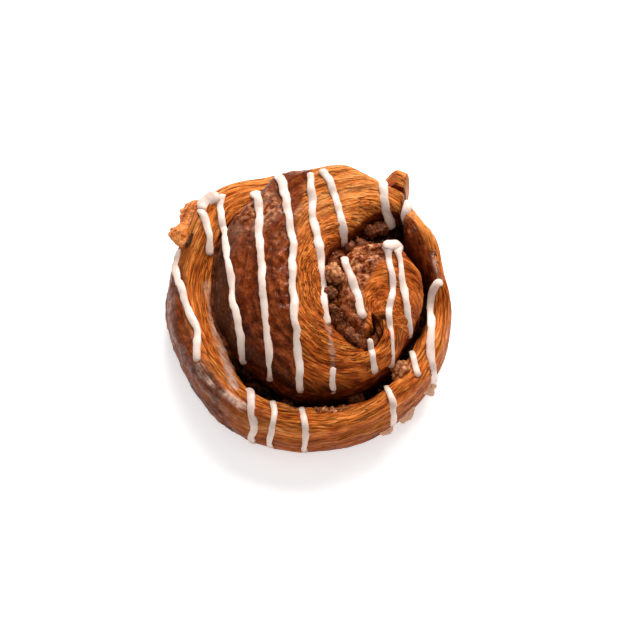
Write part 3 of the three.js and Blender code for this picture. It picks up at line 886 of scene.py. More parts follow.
def browning_and_light_mask(skin):
    """Browning, with painted sheen at the back, painted shade at the front; pale petal and tip, brown core.
    """
    # On the roll, paler at the back and darker at the front: partly browning, partly painted sheen and
    # shade.
    front = 0.2 * smooth(-2, -26, skin.y)
    core = 0.15 * smooth(CORE_START, CORE_START + 40, skin.angle)
    roll = mix(0.06, 0.34, smooth(36, 12, skin.y)) + front + core
    pale_ends = np.maximum(0.8 * bump(424, 26, skin.angle), 1 - smooth(TIP + 30, TIP + 75, skin.angle))
    # Darker towards the foot of the wall.
    foot = 0.34 * (1 - skin.wall) * skin.on_wall
    right_and_front = 0.24 * bump(376, 34, skin.angle) + 0.14 * bump(FRONT, 60, skin.angle)
    rim = mix(0.32, 0.14, pale_ends) + foot + right_and_front
    uneven = 0.16 * strip_noise(skin, 30, 6, 17)
    return mix(rim, roll, smooth(TEAR - 10, TEAR + 10, skin.angle)) + uneven


def eye_holes(x, y):
    """Two holes where the strip ends in the core: sunk, and darkened with painted shade."""
    return sum(mound(hole, x, y) for hole in EYE_HOLES)


def painted_shade_mask(skin):
    """Painted shade low in the crevice, on the right slope, under the roll's left edge and in the eye holes.
    """
    right = band(*RIGHT_SIDE, skin.angle)
    rolled = mix(0.35, 0.9, smooth(560, 610, skin.angle)) * smooth(TEAR, TEAR + 30, skin.angle)
    wall = rolled * (1 - smooth(0.25, 0.8, skin.wall))
    depth = smooth(0.05, 0.7, skin.inside) * smooth(150, 200, skin.angle)
    inside = mix(0.9, 0.66, smooth(300, 340, skin.angle)) * depth
    slope = 0.75 * smooth(0.7, 1.0, skin.across) * right
    under = 0.8 * (1 - smooth(0.0, 0.2, skin.across)) * band(*FRONT_OF_ROLL, skin.angle)
    holes = eye_holes(skin.x, skin.y) * smooth(600, 640, skin.angle)
    top = np.maximum(np.maximum(slope, under), holes)
    return np.select(skin.parts, [0 * skin.radius, wall, top], np.maximum(inside, 0.75 * right))


print("dark holes in the core:", len(EYE_HOLES))

# %% [markdown]
# The larger relief is real, so that it shows at the outline: low lumps, layers that run along the strip,
# slots between them and grains of sugar, all pushed along the normals. A Displace modifier could do this
# from one texture, but here the parts of the relief follow the masks. The ends of each length of strip are
# drawn together and rounded.

# %% Relief of the dough
TINY = 1e-9


def unit(vectors):
    """Vectors scaled to length 1."""
    return vectors / np.maximum(np.linalg.norm(vectors, axis=-1, keepdims=True), TINY)


def ridged(skin, length, width, seed):
    """Strip noise with sharp crests."""
    return 1 - 2 * np.abs(strip_noise(skin, length, width, seed))


def dough_relief(skin, places, stain, sugar, slots):
    """Pushes places along their normals."""
    layers = 0.36 * ridged(skin, 34, 2.1, 11) + 0.2 * ridged(skin, 12, 0.9, 12)
    flakes = 0.1 * strip_noise(skin, 6, 0.6, 18)
    wall_flakes = 0.35 * skin.on_wall * strip_noise(skin, 9, 2.4, 24)
    layers = (layers + flakes + wall_flakes) * mix(0.4, 1.0, (1 - stain) * (1 - sugar))
    layers = layers * (1 - 0.5 * smooth(CORE_START, CORE_START + CORE_FADE, skin.angle))
    lumps = 0.4 * strip_noise(skin, 10, 8, 15)
    blotches = 0.34 * strip_noise(skin, 2.6, 2.2, 16) * stain
    grains = 0.4 * strip_noise(skin, 1.9, 1.7, 19) + 0.24 * strip_noise(skin, 0.9, 0.8, 20)
    grains = grains * np.maximum(sugar, 0.45 * stain)
    holes = 0.8 * eye_holes(skin.x, skin.y) * skin.on_top
    relief = lumps + blotches + layers + grains - 0.3 * slots - holes
    free = smooth(0, 6, skin.radius) * (1 - skin.on_base) * smooth(0, 3, skin.height)
    normals = unit(np.cross(np.gradient(places, axis=0), np.gradient(places, axis=1)))
    facing = 1 if normals[:, skin.on_top[0], 2].mean() > 0 else -1
    return places + facing * normals * (relief * free)[:, :, None]


def rounded_ends(skin, places, along, start_round, end_round):
    """Draws both ends of the strip together over a length."""
    middle_radius = (skin.inner + skin.outer) / 2
    middle_height = top_height(skin.angle, middle_radius) / 2
    middle = np.stack([*place(skin.angle, middle_radius), middle_height], axis=2)
    from_end = np.clip(np.minimum(along / start_round, (along[-1] - along) / end_round), 0, 1)
    shrink = np.sqrt(1 - (1 - from_end) ** 2)
    return middle + (places - middle) * shrink[:, :, None]


print("relief helpers are ready")

# %% [markdown]
# Now the dough itself. One grid could run from the tip to the eye, but the coil is made in two lengths that
# meet at the tear, where the real strip has split too. On the end face of the loose tip the streaks would
# fan out from a point, so the UV map changes over to height and radius there.

# %% Dough coil
ALONG_STEPS, ROUND_STEPS = 540, 178
TIP_ROUND, TORN_ROUND, TEAR_OVERLAP = 2.0, 2.5, 0.5


def strip_uvs(skin, places, end_face):
    """Distances along and across the strip, and height and radius on the face of its first end."""
    radius = np.hypot(places[:, :, 0] - EYE[0], places[:, :, 1] - EYE[1])
    along_strip = np.stack([skin.forward, skin.sideways], axis=2)
    return mix(along_strip, np.stack([places[:, :, 2], radius], axis=2), end_face[:, :, None])


def dough_coil(name, start, end, start_round, end_round):
    """A length of the wound strip with its relief and masks."""
    angle, along = strip_stations(start, end, ALONG_STEPS + 1)
    skin = strip_skin(angle, np.linspace(0, 1, ROUND_STEPS + 1)[None, :])
    set_distances(skin, along)
    stain, sugar = stain_mask(skin), sugar_mask(skin)
    clean = (1 - stain) * (1 - sugar)
    slanted = (skin.sideways + 0.12 * skin.forward) / 0.7
    slots = clean * smooth(0.45, 0.7, value_noise(skin.forward / 4.5, slanted, 14))
    places = dough_relief(skin, np.stack([skin.x, skin.y, skin.height], axis=2), stain, sugar, slots)
    places = rounded_ends(skin, places, along, start_round, end_round)
    places[:, -1] = places[:, 0]
    on_roll = mix(0.3, 1.0, smooth(TEAR - 30, TEAR, angle))
    patchy = mix(0.5, 0.95, smooth(-0.5, 0.3, strip_noise(skin, 14, 5, 21))) * on_roll
    outside_core = 1 - 0.7 * smooth(CORE_START, CORE_START + CORE_FADE, angle)
    # The browning mask also carries painted sheen and shade, and the deep mask carries painted shade.
    masks = {
        "coat": stain, "sugar": sugar, "glaze_and_sheen": smear_cover(skin) * skin.on_top,
        "clean": clean * patchy, "slot": 0.4 * slots * on_roll,
        "layered": clean * mix(0.9, 0.5, on_roll) * outside_core,
        "browning_and_light": browning_and_light_mask(skin), "deep": painted_shade_mask(skin),
    }
    end_face = 1 - smooth(0.4, 1.0, along / start_round)
    return rolled_grid(name, places, masks, strip_uvs(skin, places, end_face))


outer_turn_mesh = dough_coil("dough_outer_turn", TIP, NOTCH + TEAR_OVERLAP, TIP_ROUND, TORN_ROUND)
add_piece(outer_turn_mesh, DOUGH, "dough")
roll_mesh = dough_coil("dough_roll", NOTCH - TEAR_OVERLAP, CORE_END, TORN_ROUND, TORN_ROUND)
add_piece(roll_mesh, DOUGH, "dough")

# %% [markdown]
# At the back left a layer has torn loose and leans away from the coil in two lobes, and thin pale flakes
# stand off the wall at the front right. A flat sheet with a Solidify modifier would have square edges, so
# each is a thin rolled-up grid: a section that runs out over the top and back along the underside, with a
# lobed edge and a crumbly face.

# %% Shape of a torn layer
HINGE_RADIUS = 51.5
LAYER_SIZES = ("azimuth", "height", "width", "length", "thick", "slope", "turn", "lobes")
LOOSE_LAYERS = [
    (142, 26, 25, 13.4, 2.4, 30, 16, 2),
    (-33, 12, 8, 7, 0.9, 50, 0, 2),
    (-47, 9, 9, 6, 0.9, 50, 0, 2),
    (-57, 8, 7, 5.5, 0.9, 55, 0, 1.5),
]


def hinged(layer, side, out, lift):
    """Places of a layer that is hinged on the wall, turned in plan, and slopes outward and down."""
    slope, turned, azimuth = (math.radians(angle) for angle in (layer.slope, layer.turn, layer.azimuth))
    level = out * math.cos(slope) + lift * math.sin(slope)
    radial = HINGE_RADIUS + level * math.cos(turned) + side * math.sin(turned)
    sideways = side * math.cos(turned) - level * math.sin(turned)
    height = layer.height - out * math.sin(slope) + (lift + layer.thick / 2) * math.cos(slope)
    x = radial * math.cos(azimuth) + sideways * math.sin(azimuth)
    y = radial * math.sin(azimuth) - sideways * math.cos(azimuth)
    return np.stack([x, y, height], axis=2)


def layer_masks(number, share, out):
    """The large layer is golden with a dark root, stained and with painted shade; the flakes are thin and
    pale.
    """
    plain = np.zeros(np.broadcast(share, out).shape)
    root = 1 - smooth(0.3, 2.4, out + plain)
    masks = dict.fromkeys(("sugar", "clean", "slot", "layered"), plain)
    if number == 0:
        crumbly = plain + 0.3 + 0.3 * value_noise(share * 12, out / 3, 47)
        # The root of the large layer: stain, and painted shade where it meets the wall.
        return {**masks, "coat": root, "glaze_and_sheen": plain + 0.04, "browning_and_light": crumbly, "deep": 0.7 * root}
    film = plain + 0.75 + 0.3 * value_noise(share * 6, out / 2, 48)
    return {**masks, "coat": 0.5 * root, "glaze_and_sheen": film, "browning_and_light": plain, "deep": plain}


print("torn layers:", len(LOOSE_LAYERS))

# %% [markdown]
# The torn edge is what makes a layer look torn: its length falls away towards both sides, dips between the
# lobes and frays by a small noise. Coarse and fine crumbs lift the face. All four layers are joined into
# one piece, because they are one kind of thing.

# %% Torn layers
LAYER_STEPS, LAYER_SIDES = 100, 64


def loose_layer(sizes, number):
    """A lobed layer of crumbly dough."""
    layer = SimpleNamespace(**dict(zip(LAYER_SIZES, sizes)))
    share = np.linspace(0, 1, LAYER_STEPS + 1)[:, None]
    turn = np.linspace(0, 2 * np.pi, LAYER_SIDES + 1)[None, :]
    ends = np.sqrt(np.clip(1 - np.abs(2 * share - 1) ** 6, 0, 1))
    dips = 0.15 * np.abs(np.cos(np.pi * layer.lobes * share + number)) ** 3
    ragged = 0.06 * value_noise(share * 17 + number, 0 * share, 42)
    length = layer.length * (1 - 0.4 * (2 * share - 1) ** 4 - dips + ragged)
    out = length * (0.5 - 0.5 * np.cos(turn)) * ends
    side = (share - 0.5) * layer.width + 0 * turn
    crumbs = 0.14 * value_noise(side / 1.2, out / 1.5, 44) + 0.08 * value_noise(side / 0.5, out / 0.7, 45)
    body = 0.5 * layer.thick * np.sign(np.sin(turn)) * np.abs(np.sin(turn)) ** 0.6
    sag = 0.3 * layer.thick * value_noise(side / 6 + number, out / 6, 46)
    places = hinged(layer, side, out, (body + layer.thick * crumbs) * ends + sag)
    places[:, -1] = places[:, 0]
    return rolled_grid("layer", places, layer_masks(number, share, out), np.stack([side, out], axis=2))


def joined(name, meshes):
    """One mesh from several, which are used up."""
    bm = bmesh.new()
    for mesh in meshes:
        bm.from_mesh(mesh)
        bpy.data.meshes.remove(mesh)
    whole = bpy.data.meshes.new(name)
    bm.to_mesh(whole)
    bm.free()
    whole.shade_smooth()
    return whole


layer_meshes = [loose_layer(sizes, number) for number, sizes in enumerate(LOOSE_LAYERS)]
add_piece(joined("torn_layers", layer_meshes), DOUGH, "dough")

# %% [markdown]
# The filling is sugar, butter and spice that melted together and set: brown and grainy where it comes near
# the surface beside the core, and nearly black where it is deep, which also paints the shade deep in the
# crevice. One ramp over noise gives both, because a mask on the ribbon moves the noise up the ramp where the
# filling is sugary.

# %% Filling material
FILLING_STOPS = [(0.36, (0.005, 0.001, 0.0005)), (0.54, (0.10, 0.021, 0.006)), (0.74, (0.30, 0.085, 0.028))]
FILLING_ROUGHNESS, FILLING_SPECULAR = 0.55, 0.08


def filling_material():
    """Dark sticky sugar and spice."""
    material, tree, shader = new_material("spiced_filling")
    sugary = arithmetic(tree, "MULTIPLY", mask(tree, "sugary"), 0.24)
    # Low tone where the filling is not sugary: dark filling and painted shade of the deep crevice.
    tone = arithmetic(tree, "ADD", arithmetic(tree, "SUBTRACT", speckle(tree, 2.6, 4.0), 0.14), sugary)
    feed(tree, shader.inputs["Base Color"], colour_ramp(tree, tone, FILLING_STOPS))
    shader.inputs["Roughness"].default_value = FILLING_ROUGHNESS
    shader.inputs["Specular IOR Level"].default_value = FILLING_SPECULAR
    shader.inputs["Specular Tint"].default_value = (*BUTTER_SHINE, 1)
    feed(tree, shader.inputs["Normal"], rough_normal(tree, speckle(tree, 1.4, 4.0), 0.8, 0.7))
    return material


FILLING = filling_material()
print("filling material has", len(FILLING.node_tree.nodes), "nodes")

# %% [markdown]
# In shape, the filling is a ribbon that stands in the crevice from end to end. It reaches a little into the
# dough on both sides, so that no gap shows, and its top is lumpy, because nuts and sugar are baked into it.
# A boolean cut could fit it to the walls exactly, but nobody sees where the two meet.

# %% Filling ribbon
FILLING_START, FILLING_END = TIP + 8, CREVICE_END - 24
FILLING_FOOT, FILLING_OVERLAP = 0.8, 0.9
RIBBON_STEPS, RIBBON_SIDES, RIBBON_END = 520, 60, 4
LUMP_RADIUS = 30


def filling_top(angle):
    """Top of the filling: near the surface beside the core, deep at the front and in the back hollow."""
    return crest(angle, crevice(angle)) - filling_depth(angle)


def squared(value):
    """Makes a circle's sine or cosine follow a rounded square."""
    return np.sign(value) * np.sqrt(np.abs(value))


def filling_ribbon():
    """The ribbon of filling along the crevice."""
    angle = np.linspace(FILLING_START, FILLING_END, RIBBON_STEPS + 1)[:, None]
    turn = np.linspace(0, 2 * np.pi, RIBBON_SIDES + 1)[None, :]
    half_width = gap(angle) / 2 + FILLING_OVERLAP
    half_height = (filling_top(angle) - FILLING_FOOT) / 2
    radius = crevice(angle) + half_width * squared(np.cos(turn))
    along = np.radians(angle) * LUMP_RADIUS
    lumps = 1.1 * value_noise(along / 5, radius / 4, 23) + 0.8 * value_noise(along / 2, radius / 1.6, 22)
    upper = smooth(0.2, 0.9, np.sin(turn))
    height = FILLING_FOOT + half_height * (1 + squared(np.sin(turn))) + upper * lumps
    from_end = np.minimum(angle - FILLING_START, FILLING_END - angle)
    shrink = np.sqrt(1 - (1 - np.clip(from_end / RIBBON_END, 0, 1)) ** 2)
    radius = mix(crevice(angle), radius, shrink)
    height = mix((FILLING_FOOT + filling_top(angle)) / 2, height, shrink)
    places = np.stack([*place(angle, radius), height], axis=2)
    places[:, -1] = places[:, 0]
    # Elsewhere the filling lies deep and is darkened near black: dark filling as well as painted shade.
    sugary = smooth(430, 475, angle) + 1 - smooth(180, 200, angle)
    return rolled_grid("cinnamon_filling", places, {"sugary": sugary + 0 * radius})


add_piece(filling_ribbon(), FILLING, "filling")

# %% [markdown]
# Toasted nuts and sugar rubble are brown, each piece a little lighter or darker than the next, with painted
# shade in the cracks between their grains. One material serves both, because the mesh carries a tone for
# each point, and fine noise mixed with that tone chooses the colour on a ramp.

# %% Nut material
NUT_STOPS = [
    (0.28, (0.08, 0.015, 0.004)),
    (0.46, (0.28, 0.072, 0.018)),
    (0.66, (0.60, 0.22, 0.07)),
    (0.8, (0.74, 0.42, 0.24)),
]
NUT_ROUGHNESS, NUT_SPECULAR = 0.48, 0.3


def nut_material():
    """Toasted kernels and sugar rubble; each piece has a tone of its own."""
    material, tree, shader = new_material("toasted_nut")
    tone = blend(tree, speckle(tree, 1.8, 4.0), 0.55, mask(tree, "tone"))
    feed(tree, shader.inputs["Base Color"], colour_ramp(tree, tone, NUT_STOPS))
    shader.inputs["Roughness"].default_value = NUT_ROUGHNESS
    shader.inputs["Specular IOR Level"].default_value = NUT_SPECULAR
    feed(tree, shader.inputs["Normal"], rough_normal(tree, speckle(tree, 0.8, 3.0), 0.6, 0.7))
    return material


NUT = nut_material()
print("nut material has", len(NUT.node_tree.nodes), "nodes")

# %% [markdown]
# A chopped kernel has a few flat cuts and a rough skin. Each piece starts as an icosphere, which random
# planes cut back, and knobs and granules roughen it. Cutting with bisect_plane would leave knife-sharp
# edges, so the cuts are blended by a high power instead, which rounds them a little.

# %% Broken pieces
CHUNK_CUTS, CUT_SHARPNESS = 11, 36
SHALLOWEST_CUT, DEEPEST_CUT = 0.95, 0.5
KNOBS, KNOB_HEIGHT = 2.2, 0.1
GRANULES, GRANULE_EDGE, GRANULE_HEIGHT = 2.0, 3.0, 0.14
SKIN_SINK = 0.1
# Painted shade: how dark the cracks between grains are.
CRACK_SHADE_TONE = 0.25


def add_chunk(bm, tone_layer, centre, radius, tone, seed, subdivisions):
    """A ball that is cut back by random planes and roughened."""
    rng = np.random.default_rng(seed)
    normals = rng.normal(size=(CHUNK_CUTS, 3))
    normals /= np.linalg.norm(normals, axis=1, keepdims=True)
    depths = rng.uniform(DEEPEST_CUT, SHALLOWEST_CUT, CHUNK_CUTS)
    shift = Vector(rng.uniform(-50, 50, 3))
    for vertex in bmesh.ops.create_icosphere(bm, subdivisions=subdivisions, radius=1.0)["verts"]:
        direction = vertex.co.normalized()
        cuts = np.maximum(normals @ np.array(direction), 0) / depths
        size = (1 + (cuts ** CUT_SHARPNESS).sum()) ** (-1 / CUT_SHARPNESS)
        knobs = noise.fractal(direction * KNOBS + shift, 1.0, 2.0, 3)
        nearest, second = noise.voronoi(direction * GRANULES + shift)[0][:2]
        granule = min(GRANULE_EDGE * (second - nearest), 1)
        reached = radius * (size + KNOB_HEIGHT * knobs + GRANULE_HEIGHT * granule - SKIN_SINK)
        vertex.co = (Vector(centre) + direction * reached) * MM
        # Painted shade darkens the tone in the cracks between grains.
        vertex[tone_layer] = tone * mix(CRACK_SHADE_TONE, 1, granule)


def chunk_mesh(name, chunks, subdivisions):
    """All broken pieces of one kind as one mesh."""
    bm = bmesh.new()
    tone_layer = bm.verts.layers.float.new("tone")
    for seed, (centre, radius, tone) in enumerate(chunks):
        add_chunk(bm, tone_layer, centre, radius, tone, seed, subdivisions)
    mesh = bpy.data.meshes.new(name)
    bm.to_mesh(mesh)
    bm.free()
    mesh.shade_smooth()
    return mesh


print("cuts on each broken piece:", CHUNK_CUTS)

# %% [markdown]
# The nut pieces stick out of the filling along the crevice. There are few of them, and each can be seen, so
# they are placed one by one, by angle along the crevice and offset across it, and not scattered by random
# numbers. Two of them are much brighter than the rest, because their pale insides show.

# %% Nuts
# Angle, radius, lift above the filling and offset from the middle of the crevice.
NUTS = [
    (221, 2.6, 0.4, 0.0), (241, 2.8, 3.0, 2.2), (258, 3.0, 3.0, -1.5), (303, 4.2, 5.0, 2.4),
    (444, 3.0, 1.5, 3.0), (450, 2.8, 1.5, 3.5), (457, 3.5, 1.4, 0.0), (465, 2.6, 1.0, 0.5),
    (497, 4.2, 1.4, -0.8), (516, 2.4, 0.4, 0.0), (540, 2.2, 0.4, 0.0), (586, 2.3, 0.4, 0.0),
    (602, 2.5, 0.6, 0.0),
]
NUT_TONE, BRIGHT_NUTS = 0.4, {303: 0.95, 497: 0.95, 241: 0.6, 258: 0.6}
NUT_SWELL, NUT_SUBDIVISIONS = 1.12, 4


def nut_chunks():
    """Places, sizes and tones of the nut pieces."""
    for angle, radius, lift, offset in NUTS:
        x, y = place(angle, crevice(angle) + offset)
        centre = (float(x), float(y), float(filling_top(angle)) + lift)
        yield centre, NUT_SWELL * radius, BRIGHT_NUTS.get(angle, NUT_TONE)


add_piece(chunk_mesh("nut_pieces", nut_chunks(), NUT_SUBDIVISIONS), NUT, "filling")

# %% [markdown]
# Sugar rubble and crumbs lie in the crevice, beside it on the roll, and on the rim at the front and right.
# They are too many to place by hand, so seeded random numbers scatter them zone by zone. Most are small and
# a few are large, as in a real crumble, and each has few faces, because there are hundreds of them.

# %% Sugar rubble
# First and last angle, count, nearest and farthest offset, smallest and largest size, and how much paler.
RUBBLE_ZONES = [
    (446, 610, 120, -2.6, 2.2, 0.25, 0.8, 0.0),
    (478, 610, 60, -9.0, -2.0, 0.15, 0.45, 0.0),
    (440, 456, 24, -6.0, 6.0, 0.3, 0.9, 0.0),
    (238, 254, 56, 2.8, 6.5, 0.45, 1.4, 0.5),
    (222, 300, 22, -2.0, 2.0, 0.3, 0.9, 0.0),
    (402, 411, 22, 6.8, 9.0, 0.25, 0.7, 0.1),
    (226, 292, 90, 3.6, 8.8, 0.12, 0.36, 0.45),
]
RUBBLE_SEED, RUBBLE_SUBDIVISIONS = 7, 2
DARKEST_RUBBLE, PALEST_RUBBLE = 0.15, 0.75


def rubble_chunks():
    """Places, sizes and tones of the rubble, zone by zone along the crevice."""
    rng = np.random.default_rng(RUBBLE_SEED)
    for start, end, count, nearest, farthest, smallest, largest, paler in RUBBLE_ZONES:
        for _ in range(count):
            angle, offset = rng.uniform(start, end), rng.uniform(nearest, farthest)
            size = mix(smallest, largest, rng.uniform() ** 2)
            radius, half_gap = crevice(angle) + offset, gap(angle) / 2
            strip = angle if offset > 0 else angle + TURN
            height = top_height(strip, radius) if abs(offset) > half_gap else filling_top(angle) + 0.5
            tone = rng.uniform(DARKEST_RUBBLE, PALEST_RUBBLE) + paler
            yield (*map(float, place(angle, radius)), float(height) + 0.2 * size), size, tone


add_piece(chunk_mesh("sugar_rubble", rubble_chunks(), RUBBLE_SUBDIVISIONS), NUT, "filling")

# %% [markdown]
# Icing is drizzled in passes from back to front. Each pass is a smooth line in plan through a few points
# that the photograph shows. A Bezier curve object could hold it, but the line has to be laid on the dough
# point by point, so it is worked out here with even steps.

# %% Icing passes
# Half width, size of the blob at the start, and the line in plan.
ICING_PASSES = [
    (1.45, 0.0, [(-48.5, 22), (-50, 14), (-46.2, 2.4), (-41, -12.5), (-40.7, -19.4), (-39.8, -25)]),
    (1.4, 0.0, [(-41, 36.2), (-38.2, 28.5), (-37, 23), (-36.3, 17.5)]),
    (2.6, 0.0, [(-40.5, 35), (-39, 38.5), (-33.5, 41.7)]),
    (1.4, 0.3, [(-33.5, 42), (-32.7, 35.3), (-28.1, 1.8), (-23.3, -24), (-20.4, -40), (-18.5, -54)]),
    (1.5, 0.3, [(-22, 40), (-19, 42), (-18.5, 36), (-16.4, 1), (-13.4, -30), (-12, -46), (-14, -54)]),
    (1.5, 0.6, [(-13, 46.5), (-9.4, 40), (-5.5, 13), (-5.5, 3), (-2.7, -36), (0, -54)]),
    (1.45, 0.1, [(0.8, 44.5), (1.9, 26.2), (4.7, 10), (5.1, 3), (5.7, -5), (7.2, -18)]),
    (1.5, 0.1, [(5, 45.5), (9.3, 36.2), (12.6, 23), (13, 15), (14.4, 6), (18.2, -5.8), (20.3, -14)]),
    (1.8, 0.2, [(27.8, 46.5), (28, 36.8), (28.9, 31), (30.5, 27)]),
    (1.5, 0.2, [(38.8, 37), (36.6, 32), (35.6, 28)]),
    (1.9, 0.0, [(27.2, 15.2), (31, 15.7), (35, 14.4)]),
    (1.25, 1.3, [(29.2, 15.8), (31, 0), (29.7, -9), (30.3, -25), (29, -36), (30.5, -42), (27, -48)]),
    (1.2, 1.0, [(33.2, 15.4), (35.2, -2.4), (37, -13.3), (38.6, -23.5), (39.9, -31)]),
    (1.4, 0.0, [(50, 5.2), (47.6, 4.9), (45.9, 2), (45.5, -4), (45, -18), (45.2, -28)]),
    (1.2, 0.0, [(21.8, -21), (22.8, -25.6), (24.3, -31.5)]),
    (1.1, 0.0, [(8.8, -31), (8.9, -34), (9.2, -38)]),
]
CURVE_STEPS = 40


def lengths_along(line):
    """Distance along a line at each of its points."""
    return np.concatenate([[0], np.cumsum(np.linalg.norm(np.diff(line, axis=0), axis=1))])


def smooth_line(points, step):
    """Evenly spaced points on a smooth curve through plan points."""
    knots = np.array(points, float)
    ends = np.vstack([2 * knots[0] - knots[1], knots, 2 * knots[-1] - knots[-2]])
    share = np.linspace(0, 1, CURVE_STEPS, endpoint=False)[:, None]
    pieces = []
    for before, start, end, after in zip(ends[:-3], ends[1:-2], ends[2:-1], ends[3:]):
        pieces.append(0.5 * (2 * start + (end - before) * share
                             + (2 * before - 5 * start + 4 * end - after) * share ** 2
                             + (3 * start - before - 3 * end + after) * share ** 3))
    line = np.vstack(pieces + [knots[-1:]])
    lengths = lengths_along(line)
    even = np.arange(0, lengths[-1], step)
    return np.stack([np.interp(even, lengths, line[:, axis]) for axis in range(2)], axis=1)


print("icing passes:", len(ICING_PASSES))

# %% [markdown]
# Thick icing lies on what it meets. Where a pass leaves the dough at a crevice, the strand runs a little way
# down the wall and stops, and beyond the gap a new strand starts. A Shrinkwrap modifier would pull it into
# the gap instead, so the pass is draped here: each point asks the strip for its height.

# %% Draping the icing
ICING_STEP, ICING_RUN, ICING_SHORTEST, ICING_BRIDGES = 0.6, 5.0, 4.0, 5.0
HANG_FROM_Y, HANG_LEAN, HANG_RUN = 25.0, 0.4, 8.0
WALL_RUN_TOP, WALL_RUN_END, WALL_RUN_POINTS = 0.95, 0.3, 16


def about_eye(x, y):
    """Angle in degrees and distance of a plan place, seen from the eye."""
    return math.degrees(math.atan2(y - EYE[1], x - EYE[0])), math.hypot(x - EYE[0], y - EYE[1])


def icing_height(x, y):
    """Height that icing lies at: on the dough, across the notch, or over filling near the surface."""
    angle, radius = about_eye(x, y)
    while angle <= CORE_END:
        if angle >= TIP:
            if inner_edge(angle) <= radius <= outer_edge(angle):
                return float(top_height(angle, radius) + notch_depth(angle))
            if abs(radius - crevice(angle)) < gap(angle) / 2 and filling_depth(angle) < ICING_BRIDGES:
                return float(crest(angle, crevice(angle)))
        angle += TURN
    return None


def run_down(x, y, z):
    """Points where a strand runs on down a wall: the outside one at the front rim, or that of a crevice."""
    angle, radius = about_eye(x, y)
    angle = angle + TURN
    if y > 0 or abs(radius - outer_edge(angle)) > 2 * ICING_STEP:
        lean, run = (HANG_LEAN, HANG_RUN) if y > HANG_FROM_Y else (0.0, ICING_RUN)
        drops = np.arange(ICING_STEP, run, ICING_STEP)
        return [(x + lean * drop, y - lean * drop, z - drop) for drop in drops]
    top = float(top_height(angle, outer_edge(angle)))
    shares = np.linspace(WALL_RUN_TOP, WALL_RUN_END, WALL_RUN_POINTS)
    return [(*map(float, place(angle, wall_radius(angle, share))), top * share) for share in shares]


def drape(points):
    """Splits a pass into strands of surface points."""
    strands, strand = [], []
    for x, y in smooth_line(points, ICING_STEP):
        height = icing_height(x, y)
        if height is not None:
            strand.append((x, y, height))
        elif strand:
            strands.append(strand + run_down(*strand[-1]))
            strand = []
    if strand:
        strands.append(strand)
    return [np.array(each) for each in strands if len(each) * ICING_STEP >= ICING_SHORTEST]


print("strands of the first pass:", len(drape(ICING_PASSES[0][2])))

# %% [markdown]
# A strand has a flat oval section, a width that wavers because the hand did, a blob where the pass began,
# and round ends. A curve with a bevel would give an even round worm. So it is a rolled-up grid again, whose
# left and right edges waver on their own, and it carries a mask of where the icing is thin.

# %% Icing strands
ICING_FLATNESS, ICING_LIFT, ICING_ROOT = 0.42, 0.55, 2.0
ICING_SIDES, ICING_FADE = 24, 5.0
LINE_SMOOTHINGS, BLOB_LENGTH, SWAY = 3, 1.6, 0.4
LEFT_SEED, RIGHT_SEED, SWAY_SEED = 31, 34, 33
STRAND_SPACING = 3.7
FRONT_RIM_Y, FRONT_RIM_SHARE = -38.0, 0.76


def strand_directions(line):
    """Unit vectors across and up at each point of a strand."""
    overall = line[-1, :2] - line[0, :2]
    flat = unit(np.gradient(line[:, :2], axis=0) + 0.05 * overall / max(np.linalg.norm(overall), TINY))
    side = np.stack([flat[:, 1], -flat[:, 0], 0 * flat[:, 0]], axis=1)
    return side, np.cross(side, unit(np.gradient(line, axis=0)))


def wavering(lengths, row, seed):
    """How an edge of a strand wavers along it."""
    return 0.24 * value_noise(lengths / 4.5, row, seed) + 0.14 * value_noise(lengths / 1.7, row, seed + 1)


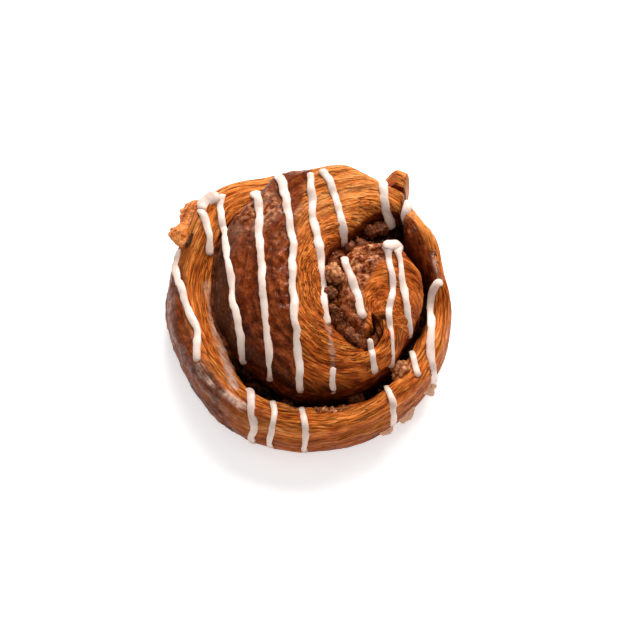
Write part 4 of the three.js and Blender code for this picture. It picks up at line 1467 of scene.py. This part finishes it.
def strand_rings(line, half_width, head, row):
    """Section rings of one strand, and a mask that is 1 where the icing is thin."""
    for _ in range(LINE_SMOOTHINGS):
        line[1:-1] = 0.25 * line[:-2] + 0.5 * line[1:-1] + 0.25 * line[2:]
    side, up = strand_directions(line)
    lengths = lengths_along(line)
    row = 0 * lengths + row
    blob = head * np.exp(-(lengths / (BLOB_LENGTH * half_width)) ** 2)
    left, right = (1 + blob + wavering(lengths, row, seed) for seed in (LEFT_SEED, RIGHT_SEED))
    sway = SWAY * value_noise(lengths / 6, row, SWAY_SEED)
    from_end = np.clip(np.minimum(lengths, lengths[-1] - lengths) / half_width, 0, 1)
    taper = np.sqrt(1 - (1 - from_end) ** 2)
    turn = np.linspace(0, 2 * np.pi, ICING_SIDES + 1)[None, :]
    edge = np.where(np.cos(turn) > 0, right[:, None], left[:, None])
    across = half_width * taper[:, None] * edge * np.cos(turn) + sway[:, None]
    thickness = half_width * ICING_FLATNESS * (1 + (left + right - blob) / 2) / 2 * taper
    raised = thickness[:, None] * np.where(np.sin(turn) > 0, 1, ICING_ROOT) * np.sin(turn) + ICING_LIFT
    rings = line[:, None, :] + across[:, :, None] * side[:, None, :] + raised[:, :, None] * up[:, None, :]
    rings[:, -1] = rings[:, 0]
    at_end = 1 - smooth(0.0, ICING_FADE, np.minimum(lengths + ICING_FADE / 2, lengths[-1] - lengths))
    thin = np.maximum(at_end[:, None], 1 - smooth(0.0, 0.55, np.abs(np.sin(turn))))
    return rings, {"thin": thin}


def icing_strands():
    """A mesh for each strand of each pass; those on the front rim are narrower."""
    row = 0.0
    for half_width, head, points in ICING_PASSES:
        for line in drape(points):
            share = FRONT_RIM_SHARE if line[0, 1] < FRONT_RIM_Y else 1.0
            yield rolled_grid("strand", *strand_rings(line, share * half_width, head, row))
            head = 0.0
            row += STRAND_SPACING


print("sides of a strand:", ICING_SIDES)

# %% [markdown]
# Set sugar icing is nearly white and lets a little light in, so it has some subsurface scattering. Where it
# is thin, at its edges and its lower ends, the dough shows through. Real transparency would cost render
# time and trouble the export, so the thin parts are tinted with the dough's brown instead.

# %% Icing
ICING_STOPS = [(0.3, (0.75, 0.56, 0.47)), (0.6, (0.89, 0.72, 0.63))]
ICING_THIN, THIN_STRENGTH = (0.36, 0.16, 0.085), 0.45
ICING_ROUGHNESS, ICING_GLOW, ICING_DEPTHS = 0.38, 0.2, (0.0012, 0.0008, 0.0006)


def icing_material():
    """Set sugar icing: nearly white, a little see-through."""
    material, tree, shader = new_material("sugar_icing")
    body = colour_ramp(tree, speckle(tree, 5.0), ICING_STOPS)
    thin = arithmetic(tree, "MULTIPLY", mask(tree, "thin"), THIN_STRENGTH)
    feed(tree, shader.inputs["Base Color"], mix_colours(tree, thin, body, ICING_THIN))
    shader.inputs["Roughness"].default_value = ICING_ROUGHNESS
    shader.inputs["Subsurface Weight"].default_value = ICING_GLOW
    shader.inputs["Subsurface Radius"].default_value = ICING_DEPTHS
    feed(tree, shader.inputs["Normal"], rough_normal(tree, speckle(tree, 1.6, 2.0), 0.4, 0.35))
    return material


add_piece(joined("icing_drizzle", icing_strands()), icing_material(), "dough")
